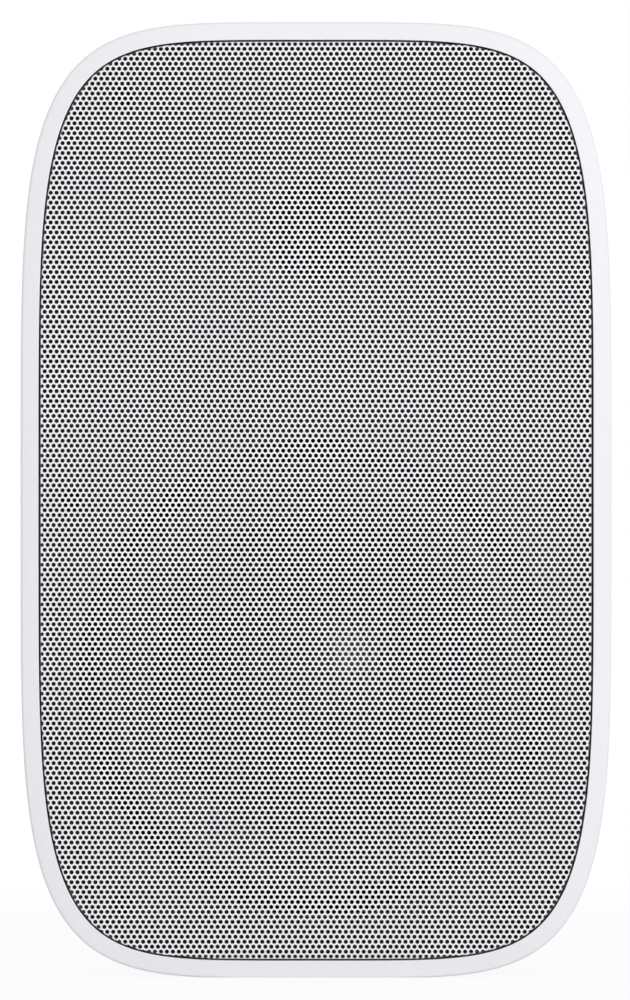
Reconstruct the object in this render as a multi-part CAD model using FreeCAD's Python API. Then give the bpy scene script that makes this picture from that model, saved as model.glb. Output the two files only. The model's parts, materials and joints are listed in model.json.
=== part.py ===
import FreeCAD
import Part
import math
import os
from FreeCAD import Vector

# Active two-way speaker, in millimetres, standing on its base with its grille towards -Y and +Z up.
# A depth is measured back from the front plane, and a height up from the middle of the front outline.

# Woofer cone, surround and dust cap
CONE_RADIUS = 62.6
CONE_DEPTH = 26.5
CONE_THICKNESS = 0.9
ROLL_RADIUS = 4.7
SURROUND_THICKNESS = 0.8
SURROUND_FLANGE = 2.0
LIP_WIDTH = 7.8
CAP_RADIUS = 36.0
CAP_RISE = 10.8
CAP_THICKNESS = 0.6
GLUE_GAP = 0.15

# Woofer coil and spider
FORMER_BORE = 12.75
FORMER_WALL = 0.35
FORMER_LENGTH = 24.0
WINDING_WALL = 0.45
WINDING_LENGTH = 12.0
COIL_GAP = 0.4
FIT_GAP = 0.05
SPIDER_RADIUS = 43.5
SPIDER_THICKNESS = 0.5
SPIDER_WAVE = 1.2
SPIDER_WAVES = 4
SPIDER_DROP = 4.4

# Woofer basket and trim ring
FRAME_LAND = 8.0
FLANGE_THICKNESS = 2.5
BASKET_NECK = 1.4
BASKET_WALL = 3.4
SHELF_WIDTH = 5.5
MOTOR_SEAT = 14.0
MOTOR_DROP = 9.3
WINDOW_COUNT = 6
WINDOW_DEGREES = 42.0
WINDOW_MARGIN = 4.0
TRIM_RECESS = 1.0
TRIM_THICKNESS = 2.0
TRIM_GAP = 0.2
WOOFER_SCREW_COUNT = 6
WOOFER_SCREW_INSET = 3.0
WOOFER_SCREW_REACH = 5.0

# Woofer motor
TOP_PLATE_RADIUS = 40.0
TOP_PLATE_THICKNESS = 5.0
MAGNET_RADIUS = 45.0
MAGNET_BORE = 20.0
MAGNET_THICKNESS = 15.0
YOKE_THICKNESS = 5.0
POLE_PROUD = 0.5

# Woofer tags
LUG_WIDTH = 18.0
LUG_RISE = 6.0
LUG_LENGTH = 5.0
STRIP_THICKNESS = 1.6
TAG_SPACING = 10.0
TAG_WIDTH = 4.8
TAG_THICKNESS = 0.8
TAG_LENGTH = 11.0

# Tweeter
DOME_RADIUS = 12.6
DOME_RISE = 2.7
DOME_ROLL = 3.4
DOME_ROLL_RISE = 0.85
DOME_FLANGE = 2.5
DOME_THICKNESS = 0.35
TWEETER_PLATE_RADIUS = 30.0
TWEETER_PLATE_THICKNESS = 3.0
TWEETER_COIL_WALL = 0.25
TWEETER_WINDING_WALL = 0.3
TWEETER_TOP_THICKNESS = 3.0
TWEETER_MAGNET_THICKNESS = 8.0
TWEETER_MAGNET_BORE = 16.0
TWEETER_YOKE_THICKNESS = 3.0
TWEETER_SCREW_COUNT = 3
TWEETER_SCREW_INSET = 3.0
TWEETER_SCREW_REACH = 2.6
FLARE = 1.5
FLARE_GAP = 0.1

# Places of the drivers on the front
WOOFER_SIDE = 19.0
WOOFER_BELOW = 20.75
DRIVER_GAP = 39.8
TWEETER_ABOVE = 39.95

# Front stack: rim, grille, baffle and its gasket
OUTLINE_POWER = 4.85
RIM_WIDTH = 6.0
RIM_LAND = 0.4
BEVEL_DEPTH = 1.2
EDGE_ROUND = 1.0
GRILLE_SETBACK = 0.3
GRILLE_THICKNESS = 0.8
GRILLE_FOLD = 8.0
GRILLE_GAP = 0.45
GRILLE_BEND = 0.7
BAFFLE_THICKNESS = 4.5
BAFFLE_GAP = 0.3
RIB_HEIGHT = 3.0
RIB_THICKNESS = 1.6
RECESS_GAP = 0.4
RECESS_FLOOR_WALL = 3.0
RECESS_SIDE_WALL = 2.0
GASKET_THICKNESS = 1.5

# Perforation: the real sheet has holes of this size and pitch, drawn here enlarged by PATTERN_SCALE
HOLE_ACROSS = 1.2
HOLE_PITCH = 2.0
ROW_PITCH = 1.67
PATTERN_SCALE = 8.0
PATTERN_EDGE = 3.0

# Baffle screws
SIDE_SCREW_INSET = 16.8
CORNER_SCREW_SIDE = 34.0
CORNER_SCREW_TOP = 24.25
BAFFLE_SCREW_RADIUS = 1.9
BAFFLE_SCREW_LENGTH = 18.0
BAFFLE_HEAD_RADIUS = 3.7
BAFFLE_HEAD_HEIGHT = 2.4
HEAD_SINK = 3.0
HEAD_GAP = 0.3
HOLE_GAP = 0.2
BOSS_WALL = 3.0
BOSS_LENGTH = 14.0

# Small screws of the drivers and the rear panel
SCREW_RADIUS = 1.4
SCREW_HEAD_RADIUS = 2.4
SCREW_HEAD_HEIGHT = 1.5

# Cabinet
WALL = 3.2
LEDGE_WIDTH = 10.0
LEDGE_THICKNESS = 4.0
BASE_LAND = 76.0
BACK_CURVE = 64.0
SIDE_POWER = 1.7
BACK_POWER = 2.0
OUTLINE_POINTS = 48
CORNER_BIAS = 0.77
SIDE_STATIONS = 5
REAR_STATIONS = 7
EDGE_STATIONS = 4

# Rear recess and amplifier panel
PANEL_WIDTH = 104.0
PANEL_HEIGHT = 150.0
PANEL_CORNER = 10.0
PANEL_THICKNESS = 2.5
PANEL_GAP = 0.6
PANEL_SIDE = 14.0
PANEL_BELOW = 18.75
PANEL_LEDGE_WIDTH = 9.0
PANEL_LEDGE_THICKNESS = 6.0
PANEL_GASKET_THICKNESS = 1.5
PANEL_SCREW_INSET = 5.0
PANEL_SCREW_REACH = 5.0
RECESS_DEPTH = 15.0
REAR_AIR = 29.65

# Threaded inserts for a wall bracket
INSERT_GAP = 19.0
INSERT_SPACING = 50.0
INSERT_ABOVE = 26.25
INSERT_RADIUS = 4.0
INSERT_BORE = 2.5
INSERT_LENGTH = 12.0
INSERT_FLOOR = 2.0

# Damping pad
PAD_WIDTH = 96.0
PAD_THICKNESS = 18.0
PAD_CORNER = 14.0
PAD_GAP = 0.3
PAD_HOLE_GAP = 0.8

# Circuit board and what stands on it
BOARD_MARGIN = 11.5
BOARD_THICKNESS = 1.6
STANDOFF_LENGTH = 25.0
STANDOFF_RADIUS = 3.0
STANDOFF_INSET = 5.0
CAPACITOR_RADIUS = 9.0
CAPACITOR_HEIGHT = 30.0
CAPACITOR_SPACING = 40.0
CAPACITOR_ROW = 21.0
TOROID_RADIUS = 29.0
TOROID_BORE = 8.0
TOROID_HEIGHT = 24.0
TOROID_ROUND = 6.0
TOROID_ROW = -25.0
CLAMP_RADIUS = 15.0
CLAMP_THICKNESS = 1.5
CLAMP_BOLT = 2.5
CLAMP_NUT_ACROSS = 8.0
CLAMP_NUT_HEIGHT = 3.5
SINK_WIDTH = 58.0
SINK_DEPTH = 14.0
SINK_HEIGHT = 26.0
SINK_FOOT = 4.0
SINK_FIN = 2.0
SINK_FINS = 8
SINK_ROW = 44.0

# Controls
CONTROL_TOP = 30.0
CONTROL_SIDE = 21.0
POT_SIZE = 16.0
POT_DEPTH = 9.0
BUSH_RADIUS = 3.5
BUSH_PROUD = 4.5
SHAFT_RADIUS = 2.5
SHAFT_GAP = 0.05
SHAFT_TAIL = 6.0
POT_NUT_ACROSS = 10.0
POT_NUT_HEIGHT = 2.2
KNOB_RADIUS = 7.5
VOLUME_KNOB_RADIUS = 9.5
KNOB_HEIGHT = 11.0
KNOB_LIFT = 2.6
KNOB_ROOF = 2.5
KNOB_TAPER = 0.6
KNOB_FLUTES = 14
FLUTE_RADIUS = 0.8
POINTER_WIDTH = 1.2
POINTER_SINK = 0.5

# Input sockets
SOCKET_DROP = 30.0
SOCKET_SIDE = 18.0
SOCKET_SPACING = 16.0
BARREL_RADIUS = 4.15
BARREL_LENGTH = 9.5
BARREL_BORE = 1.7
BARREL_BORE_DEPTH = 8.0
SOCKET_BODY_RADIUS = 6.0
SOCKET_BODY_LENGTH = 10.0
RING_RADIUS = 6.5
RING_THICKNESS = 1.6

# Output terminals with sprung levers
TERMINAL_SIDE = 30.0
TERMINAL_WIDTH = 40.0
TERMINAL_HEIGHT = 26.0
TERMINAL_PROUD = 9.0
TERMINAL_CORNER = 2.0
TERMINAL_BODY_INSET = 3.0
TERMINAL_BODY_LENGTH = 9.0
LEVER_SPACING = 19.0
LEVER_WIDTH = 11.8
LEVER_GAP = 0.3
LEVER_LENGTH = 12.0
LEVER_THICKNESS = 2.4
LEVER_PIVOT_RADIUS = 1.7
LEVER_PIVOT_DROP = 2.0
LEVER_REST_DEGREES = 24.0
LEVER_SWEEP_GAP = 0.9
TRUNNION_RADIUS = 0.9
TRUNNION_LENGTH = 1.3
LEVER_FLOOR = 2.0
WIRE_HOLE_RADIUS = 1.6
WIRE_HOLE_DROP = 8.5

# Mains inlet
POWER_RISE = 31.0
INLET_SIDE = 30.0
INLET_FLANGE_WIDTH = 31.0
INLET_FLANGE_HEIGHT = 24.0
INLET_FLANGE_THICKNESS = 2.5
INLET_CORNER = 3.0
INLET_BODY_WIDTH = 27.0
INLET_BODY_HEIGHT = 19.8
INLET_WALL = 1.4
INLET_CAVITY_DEPTH = 17.0
INLET_FLOOR = 2.0
INLET_BEVEL = 4.5
PIN_WIDTH = 2.0
PIN_HEIGHT = 4.0
PIN_SPACING = 7.0
PIN_OFFSET = 1.6
PIN_RECESS = 6.0
PIN_TAIL = 3.0

# Power switch
SWITCH_SIDE = 26.0
BEZEL_WIDTH = 15.0
BEZEL_HEIGHT = 21.0
BEZEL_THICKNESS = 2.0
BEZEL_LIP = 1.0
SWITCH_BODY_LENGTH = 17.0
ROCKER_RADIUS = 7.9
ROCKER_WIDTH = 10.2
ROCKER_GAP = 0.4
ROCKER_PIVOT_LIFT = 0.5
ROCKER_RISE = 2.6
ROCKER_KEEL = 4.0
ROCKER_DEGREES = 10.0
ROCKER_PIN_RADIUS = 1.2
ROCKER_PIN_LENGTH = 0.8
ROCKER_FLOOR_GAP = 2.5

# Leads
LEAD_RADIUS = 1.1
LEAD_BEND = 0.45
LEAD_INSET = 5.5
LEAD_RUN = 24.0
TWEETER_LEAD_SPACING = 12.0
TWEETER_LEAD_ROW = 57.0

# Radii of the drivers
SURROUND_RADIUS = CONE_RADIUS + 2 * ROLL_RADIUS
FRAME_RADIUS = SURROUND_RADIUS + FRAME_LAND
RECESS_RADIUS = FRAME_RADIUS + RECESS_GAP
SEAT_RING_RADIUS = RECESS_RADIUS + RECESS_SIDE_WALL
BASKET_RADIUS = SURROUND_RADIUS + BASKET_NECK
FORMER_RADIUS = FORMER_BORE + FORMER_WALL
NECK_RADIUS = FORMER_RADIUS + GLUE_GAP
WINDING_RADIUS = FORMER_RADIUS + FIT_GAP + WINDING_WALL
SHELF_BORE = SPIDER_RADIUS - SHELF_WIDTH
SHELF_RADIUS = SPIDER_RADIUS + COIL_GAP + GLUE_GAP
WOOFER_SCREW_CIRCLE = FRAME_RADIUS - WOOFER_SCREW_INSET
TWEETER_SCREW_CIRCLE = TWEETER_PLATE_RADIUS - TWEETER_SCREW_INSET
TWEETER_MOTOR_RADIUS = TWEETER_SCREW_CIRCLE - SCREW_HEAD_RADIUS - COIL_GAP
DOME_EDGE = DOME_RADIUS + DOME_ROLL
TWEETER_OPENING = DOME_EDGE + COIL_GAP
TWEETER_COIL_BORE = DOME_RADIUS - GLUE_GAP
TWEETER_COIL_RADIUS = TWEETER_COIL_BORE + TWEETER_COIL_WALL
TWEETER_WINDING_RADIUS = TWEETER_COIL_RADIUS + TWEETER_WINDING_WALL

# Overall width and height, set by the drivers and the margins round them
WIDTH = 2 * (FRAME_RADIUS + WOOFER_SIDE)
HEIGHT = 2 * FRAME_RADIUS + 2 * TWEETER_PLATE_RADIUS + WOOFER_BELOW + DRIVER_GAP + TWEETER_ABOVE
WOOFER_AXIS = WOOFER_BELOW + FRAME_RADIUS - HEIGHT / 2
TWEETER_AXIS = HEIGHT / 2 - TWEETER_ABOVE - TWEETER_PLATE_RADIUS
BASE_TRIM = HEIGHT / 2 * (1 - (1 - (BASE_LAND / WIDTH) ** OUTLINE_POWER) ** (1 / OUTLINE_POWER))
CENTRE_Z = HEIGHT / 2 - BASE_TRIM

# Depths from the front plane to the baffle and the woofer
BODY_FRONT = BEVEL_DEPTH + EDGE_ROUND
SHEET_BACK = GRILLE_SETBACK + GRILLE_THICKNESS
BAFFLE_FRONT = GRILLE_SETBACK + GRILLE_FOLD
BAFFLE_BACK = BAFFLE_FRONT + BAFFLE_THICKNESS
POCKET_DEPTH = BAFFLE_BACK + GASKET_THICKNESS
CAVITY_FRONT = POCKET_DEPTH + LEDGE_THICKNESS
TRIM_FRONT = BAFFLE_FRONT + TRIM_RECESS
TRIM_BACK = TRIM_FRONT + TRIM_THICKNESS
FLANGE_FRONT = TRIM_BACK + SURROUND_THICKNESS
RECESS_FLOOR = FLANGE_FRONT + FLANGE_THICKNESS
CONE_EDGE = FLANGE_FRONT + SURROUND_THICKNESS + GLUE_GAP
CONE_SLOPE = CONE_DEPTH / (CONE_RADIUS - NECK_RADIUS)
SHELF_DEPTH = CONE_EDGE + CONE_DEPTH + SPIDER_DROP
MOTOR_FRONT = SHELF_DEPTH + MOTOR_DROP
MAGNET_FRONT = MOTOR_FRONT + TOP_PLATE_THICKNESS
YOKE_FRONT = MAGNET_FRONT + MAGNET_THICKNESS
WOOFER_BACK = YOKE_FRONT + YOKE_THICKNESS

# Depths of the tweeter
DOME_SEAT = BAFFLE_BACK + GLUE_GAP
DOME_RIM = DOME_SEAT + DOME_THICKNESS
TWEETER_PLATE_BACK = BAFFLE_BACK + TWEETER_PLATE_THICKNESS
TWEETER_MAGNET_FRONT = TWEETER_PLATE_BACK + TWEETER_TOP_THICKNESS
TWEETER_YOKE_FRONT = TWEETER_MAGNET_FRONT + TWEETER_MAGNET_THICKNESS
TWEETER_BACK = TWEETER_YOKE_FRONT + TWEETER_YOKE_THICKNESS

# Overall depth, and depths of the amplifier module
BOARD_FRONT = WOOFER_BACK + REAR_AIR + CAPACITOR_HEIGHT
BOARD_BACK = BOARD_FRONT + BOARD_THICKNESS
PANEL_INNER = BOARD_BACK + STANDOFF_LENGTH
PANEL_OUTER = PANEL_INNER + PANEL_THICKNESS
DEPTH = PANEL_OUTER + RECESS_DEPTH
PANEL_SEAT = PANEL_INNER - PANEL_GASKET_THICKNESS
TUB_FRONT = PANEL_SEAT - PANEL_LEDGE_THICKNESS
STRAIGHT = DEPTH - BACK_CURVE

# Back of the cabinet, set by the panel, the inserts and the margins round them
BACK_WIDTH = PANEL_WIDTH + 2 * PANEL_SIDE
BACK_HEIGHT = PANEL_BELOW + PANEL_HEIGHT + INSERT_GAP + INSERT_SPACING + INSERT_ABOVE
PANEL_CENTRE = PANEL_BELOW + PANEL_HEIGHT / 2 - BACK_HEIGHT / 2
LOWER_INSERT = PANEL_CENTRE + PANEL_HEIGHT / 2 + INSERT_GAP
INSERT_HEIGHTS = [LOWER_INSERT, LOWER_INSERT + INSERT_SPACING]
RECESS_WIDTH = PANEL_WIDTH + 2 * PANEL_GAP
RECESS_HEIGHT = PANEL_HEIGHT + 2 * PANEL_GAP
OPENING_WIDTH = RECESS_WIDTH - 2 * PANEL_LEDGE_WIDTH
OPENING_HEIGHT = RECESS_HEIGHT - 2 * PANEL_LEDGE_WIDTH
BOARD_WIDTH = PANEL_WIDTH - 2 * BOARD_MARGIN
BOARD_HEIGHT = PANEL_HEIGHT - 2 * BOARD_MARGIN
LEAD_SIDE = BOARD_WIDTH / 2 - LEAD_INSET

# Places on the rear panel
CONTROL_HEIGHT = PANEL_CENTRE + PANEL_HEIGHT / 2 - CONTROL_TOP
SOCKET_HEIGHT = CONTROL_HEIGHT - SOCKET_DROP
POWER_HEIGHT = PANEL_CENTRE - PANEL_HEIGHT / 2 + POWER_RISE
CONTROL_SPACING = PANEL_WIDTH / 2 - CONTROL_SIDE
FIRST_SOCKET = PANEL_WIDTH / 2 - SOCKET_SIDE
INLET_CENTRE = PANEL_WIDTH / 2 - INLET_SIDE
TERMINAL_CENTRE = TERMINAL_SIDE - PANEL_WIDTH / 2
SWITCH_CENTRE = SWITCH_SIDE - PANEL_WIDTH / 2
CONTROLS = {"volume": CONTROL_SPACING, "bass": 0.0, "treble": -CONTROL_SPACING}
SOCKETS = {"left": FIRST_SOCKET, "right": FIRST_SOCKET - SOCKET_SPACING}
LEVERS = {"red": TERMINAL_CENTRE + LEVER_SPACING / 2, "black": TERMINAL_CENTRE - LEVER_SPACING / 2}

ALONG = Vector(0, 1, 0)
ACROSS = Vector(1, 0, 0)
OVERRUN = 1.0


def place(x, depth, height):
    """A point of the part from its side offset, depth and height."""
    return Vector(x, depth - DEPTH / 2, CENTRE_Z + height)


def rod(x, height, radius, front, back):
    """A round bar that runs front to back."""
    return Part.makeCylinder(radius, back - front, place(x, front, height), ALONG)


def tube(x, height, radius, bore, front, back):
    """A round bar with a hole through it."""
    return rod(x, height, radius, front, back).cut(rod(x, height, bore, front - OVERRUN, back + OVERRUN))


def cross_rod(x, height, depth, radius, length):
    """A round bar that runs from side to side, centred on x."""
    return Part.makeCylinder(radius, length, place(x - length / 2, depth, height), ACROSS)


def block(x, height, width, tall, front, back):
    """A square-edged block centred on x and height."""
    return Part.makeBox(width, back - front, tall, place(x - width / 2, front, height - tall / 2))


def rounded_block(x, height, width, tall, corner, front, back):
    """A block whose four long edges are rounded."""
    solid = block(x, height, width, tall, front, back)
    edges = [edge for edge in solid.Edges if abs(edge.tangentAt(edge.FirstParameter).y) > 0.9]
    return solid.makeFillet(corner, edges)


def hexagon_wire(x, height, across, depth):
    """A hexagon of the given size across its flats."""
    reach = across / math.sqrt(3)
    turns = [math.radians(60 * step) for step in range(7)]
    corners = [place(x + reach * math.sin(turn), depth, height + reach * math.cos(turn)) for turn in turns]
    return Part.makePolygon(corners)


def hexagon(x, height, across, front, back):
    """A six-sided bar of the given size across its flats."""
    return Part.Face(hexagon_wire(x, height, across, front)).extrude(ALONG * (back - front))


def side_prism(x, width, corners):
    """A bar of the given width across, cut to a profile of depths and heights."""
    points = [place(x - width / 2, depth, height) for depth, height in corners]
    return Part.Face(Part.makePolygon(points + points[:1])).extrude(ACROSS * width)


def turned(profile, axis):
    """A solid turned about the front-to-back axis at a height.

    Each move of the profile is a radius and a depth, with a point on the way before them for an arc."""
    edges = []
    here = profile[0]
    for move in profile[1:] + profile[:1]:
        ends = [Vector(radius, depth - DEPTH / 2, 0) for radius, depth in (here, move[:2], move[-2:])]
        if len(move) == 4:
            edges.append(Part.Arc(*ends).toShape())
        else:
            edges.append(Part.makeLine(ends[0], ends[2]))
        here = move[-2:]
    solid = Part.Face(Part.Wire(edges)).revolve(Vector(0, 0, 0), ALONG, 360)
    solid.translate(Vector(0, 0, CENTRE_Z + axis))
    return solid


def ring_places(count, radius, axis):
    """Evenly spaced places on a circle about an axis, as side offsets and heights."""
    turns = [2 * math.pi * (step + 0.5) / count for step in range(count)]
    return [(radius * math.sin(turn), axis + radius * math.cos(turn)) for turn in turns]


def screw(x, height, radius, head_radius, head_height, seat, reach):
    """A pan-head screw whose head lies against a seat, reaching in the direction of the sign of reach."""
    front, back = sorted([seat, seat + reach])
    head_end = seat - math.copysign(head_height, reach)
    head = rod(x, height, head_radius, *sorted([seat, head_end]))
    rim = [edge for edge in head.Edges if abs(edge.CenterOfMass.y - place(0, head_end, 0).y) < head_height / 2]
    return head.makeChamfer(head_height / 3, rim).fuse(rod(x, height, radius, front, back))


def outline_points(half_width, half_height, inset):
    """Points of the superellipse outline, closer together at its corners, moved in along its normal."""
    points = []
    for step in range(OUTLINE_POINTS):
        turn = 2 * math.pi * step / OUTLINE_POINTS
        side = math.copysign(abs(math.cos(turn)) ** CORNER_BIAS, math.cos(turn))
        rise = math.copysign(abs(math.sin(turn)) ** CORNER_BIAS, math.sin(turn))
        reach = abs(side) ** OUTLINE_POWER + abs(rise) ** OUTLINE_POWER
        x = half_width * side * reach ** (-1 / OUTLINE_POWER)
        z = half_height * rise * reach ** (-1 / OUTLINE_POWER)
        normal_x = math.copysign(abs(x / half_width) ** (OUTLINE_POWER - 1) / half_width, x)
        normal_z = math.copysign(abs(z / half_height) ** (OUTLINE_POWER - 1) / half_height, z)
        size = math.hypot(normal_x, normal_z)
        points.append((x - inset * normal_x / size, z - inset * normal_z / size))
    return points


def outline_knots():
    """Distances along the front outline, shared by every section so that they line up."""
    points = outline_points(WIDTH / 2, HEIGHT / 2, 0.0)
    knots = [0.0]
    for here, there in zip(points, points[1:] + points[:1]):
        knots.append(knots[-1] + math.dist(here, there))
    return knots


def outline(half_width, half_height, inset, depth):
    """The closed outline wire at a depth."""
    points = [place(x, depth, z) for x, z in outline_points(half_width, half_height, inset)]
    curve = Part.BSplineCurve()
    curve.interpolate(Points=points, PeriodicFlag=True, Parameters=outline_knots())
    return Part.Wire([curve.toShape()])


def front_prism(inset, front, back):
    """A straight solid of the front outline, moved in by an inset."""
    return Part.Face(outline(WIDTH / 2, HEIGHT / 2, inset, front)).extrude(ALONG * (back - front))


def front_ring(outer, inner, front, back):
    """A band that follows the front outline between two insets."""
    return front_prism(outer, front, back).cut(front_prism(inner, front - OVERRUN, back + OVERRUN))


def curve_in(share, power):
    """How far a side has curved in, from 0 to 1, along a superellipse quarter."""
    return 1 - (1 - share ** power) ** (1 / power)


def half_sizes(depth):
    """Half the width and half the height of the cabinet at a depth."""
    side = curve_in((depth - BODY_FRONT) / (DEPTH - BODY_FRONT), SIDE_POWER)
    rear = curve_in(max(0.0, depth - STRAIGHT) / BACK_CURVE, BACK_POWER)
    return WIDTH / 2 - (WIDTH - BACK_WIDTH) / 2 * side, HEIGHT / 2 - (HEIGHT - BACK_HEIGHT) / 2 * rear


def body_loft(depths, inset):
    """A smooth solid through the cabinet's outlines, moved in by an inset."""
    wires = [outline(*half_sizes(min(depth + inset, DEPTH)), inset, depth) for depth in depths]
    return Part.makeLoft(wires, True, False, False, 3)


def body(front, back, inset):
    """The cabinet's tapered body between two depths, moved in by an inset."""
    sides = [front + (STRAIGHT - front) * step / SIDE_STATIONS for step in range(SIDE_STATIONS + 1)]
    turns = [math.pi / 2 * step / REAR_STATIONS for step in range(REAR_STATIONS + 1)]
    rear = [STRAIGHT + (back - STRAIGHT) * math.sin(turn) for turn in turns]
    return body_loft(sides, inset).fuse(body_loft(rear, inset))


def rim():
    """The bevelled front rim with its rounded outer edge."""
    turns = [math.pi / 2 * step / EDGE_STATIONS for step in range(EDGE_STATIONS + 1)]
    stations = [(0.0, RIM_WIDTH - RIM_LAND)]
    for turn in turns:
        stations.append((BODY_FRONT - EDGE_ROUND * math.cos(turn), EDGE_ROUND * (1 - math.sin(turn))))
    wires = [outline(WIDTH / 2, HEIGHT / 2, inset, depth) for depth, inset in stations]
    return Part.makeLoft(wires, True, True)


def baffle_screw_places():
    """Side offsets and heights of the six screws that hold the baffle."""
    side = WIDTH / 2 - SIDE_SCREW_INSET
    corner_x = WIDTH / 2 - CORNER_SCREW_SIDE
    corner_z = HEIGHT / 2 - CORNER_SCREW_TOP
    corners = [(x, z) for x in (-corner_x, corner_x) for z in (-corner_z, corner_z)]
    return corners + [(-side, 0.0), (side, 0.0)]


def panel_screw_places():
    """Side offsets and heights of the eight screws that hold the rear panel."""
    side = PANEL_WIDTH / 2 - PANEL_SCREW_INSET
    rise = PANEL_HEIGHT / 2 - PANEL_SCREW_INSET
    spots = [(x, z) for x in (-side, 0.0, side) for z in (-rise, 0.0, rise) if x or z]
    return [(x, PANEL_CENTRE + z) for x, z in spots]


def panel_plate(grow, front, back):
    """A plate of the rear panel's outline, grown by a margin."""
    corner = max(PANEL_CORNER + grow, EDGE_ROUND)
    width = PANEL_WIDTH + 2 * grow
    tall = PANEL_HEIGHT + 2 * grow
    return rounded_block(0.0, PANEL_CENTRE, width, tall, corner, front, back)


def cabinet_shell():
    """The moulded cabinet: rim, pocket for the baffle, screw bosses and the recess for the rear panel."""
    boss_radius = BAFFLE_SCREW_RADIUS + BOSS_WALL
    opening_grow = PANEL_GAP - PANEL_LEDGE_WIDTH
    shell = rim().fuse(body(BODY_FRONT, DEPTH, 0.0))
    shell = shell.cut(front_prism(RIM_WIDTH, -OVERRUN, POCKET_DEPTH))
    shell = shell.cut(front_prism(RIM_WIDTH + LEDGE_WIDTH, POCKET_DEPTH - OVERRUN, CAVITY_FRONT + OVERRUN))
    shell = shell.cut(body(CAVITY_FRONT, DEPTH - WALL, WALL))
    bosses = [rod(x, z, boss_radius, POCKET_DEPTH, POCKET_DEPTH + BOSS_LENGTH) for x, z in baffle_screw_places()]
    insert_front = DEPTH - INSERT_LENGTH - INSERT_FLOOR
    bosses += [rod(0.0, z, INSERT_RADIUS + BOSS_WALL, insert_front, DEPTH - WALL) for z in INSERT_HEIGHTS]
    shell = shell.fuse(bosses + [panel_plate(PANEL_GAP + WALL, TUB_FRONT, DEPTH - WALL / 2)])
    cuts = [panel_plate(PANEL_GAP, PANEL_SEAT, DEPTH + OVERRUN)]
    cuts.append(panel_plate(opening_grow, TUB_FRONT - OVERRUN, PANEL_SEAT + OVERRUN))
    cuts.append(rod(0.0, WOOFER_AXIS, SEAT_RING_RADIUS + RECESS_GAP, POCKET_DEPTH - OVERRUN, CAVITY_FRONT))
    pilot_back = POCKET_DEPTH + BOSS_LENGTH - INSERT_FLOOR
    for x, z in baffle_screw_places():
        cuts.append(rod(x, z, BAFFLE_SCREW_RADIUS + FIT_GAP, POCKET_DEPTH - OVERRUN, pilot_back))
    for x, z in panel_screw_places():
        cuts.append(rod(x, z, SCREW_RADIUS + FIT_GAP, TUB_FRONT - OVERRUN, PANEL_SEAT + OVERRUN))
    for z in INSERT_HEIGHTS:
        cuts.append(rod(0.0, z, INSERT_RADIUS + FIT_GAP, DEPTH - INSERT_LENGTH, DEPTH + OVERRUN))
    cuts.append(block(0.0, -CENTRE_Z - HEIGHT / 2, 2 * WIDTH, HEIGHT, -OVERRUN, DEPTH + OVERRUN))
    return shell.cut(cuts)


def perforations(depth):
    """Staggered hexagon outlines that fill the grille's face, at the enlarged pitch."""
    pitch = HOLE_PITCH * PATTERN_SCALE
    row_pitch = ROW_PITCH * PATTERN_SCALE
    across = HOLE_ACROSS * PATTERN_SCALE
    inset = RIM_WIDTH + GRILLE_GAP + GRILLE_THICKNESS + PATTERN_EDGE + across / 2
    half_width = WIDTH / 2 - inset
    half_height = HEIGHT / 2 - inset
    rows = int(half_height / row_pitch)
    columns = int(half_width / pitch) + 1
    holes = []
    for row in range(-rows, rows + 1):
        shift = 0.5 * (row % 2)
        for column in range(-columns, columns + 1):
            x = (column + shift) * pitch
            z = row * row_pitch
            if abs(x / half_width) ** OUTLINE_POWER + abs(z / half_height) ** OUTLINE_POWER < 1:
                holes.append(hexagon_wire(x, z, across, depth))
    return holes


def grille():
    """The steel grille: a perforated face, a fold all round and a rounded bend between them."""
    edge = RIM_WIDTH + GRILLE_GAP
    front = GRILLE_SETBACK
    wires = [outline(WIDTH / 2, HEIGHT / 2, edge, front)] + perforations(front)
    sheet = Part.makeFace(wires, "Part::FaceMakerBullseye").extrude(ALONG * GRILLE_THICKNESS)
    pan = sheet.fuse(front_ring(edge, edge + GRILLE_THICKNESS, SHEET_BACK, BAFFLE_FRONT)).removeSplitter()
    face_y = place(0, front, 0).y
    bend = [line for line in pan.Edges if line.Length > WIDTH and line.BoundBox.YMax < face_y + GRILLE_BEND / 2]
    return pan.makeFillet(GRILLE_BEND, bend)


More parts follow.
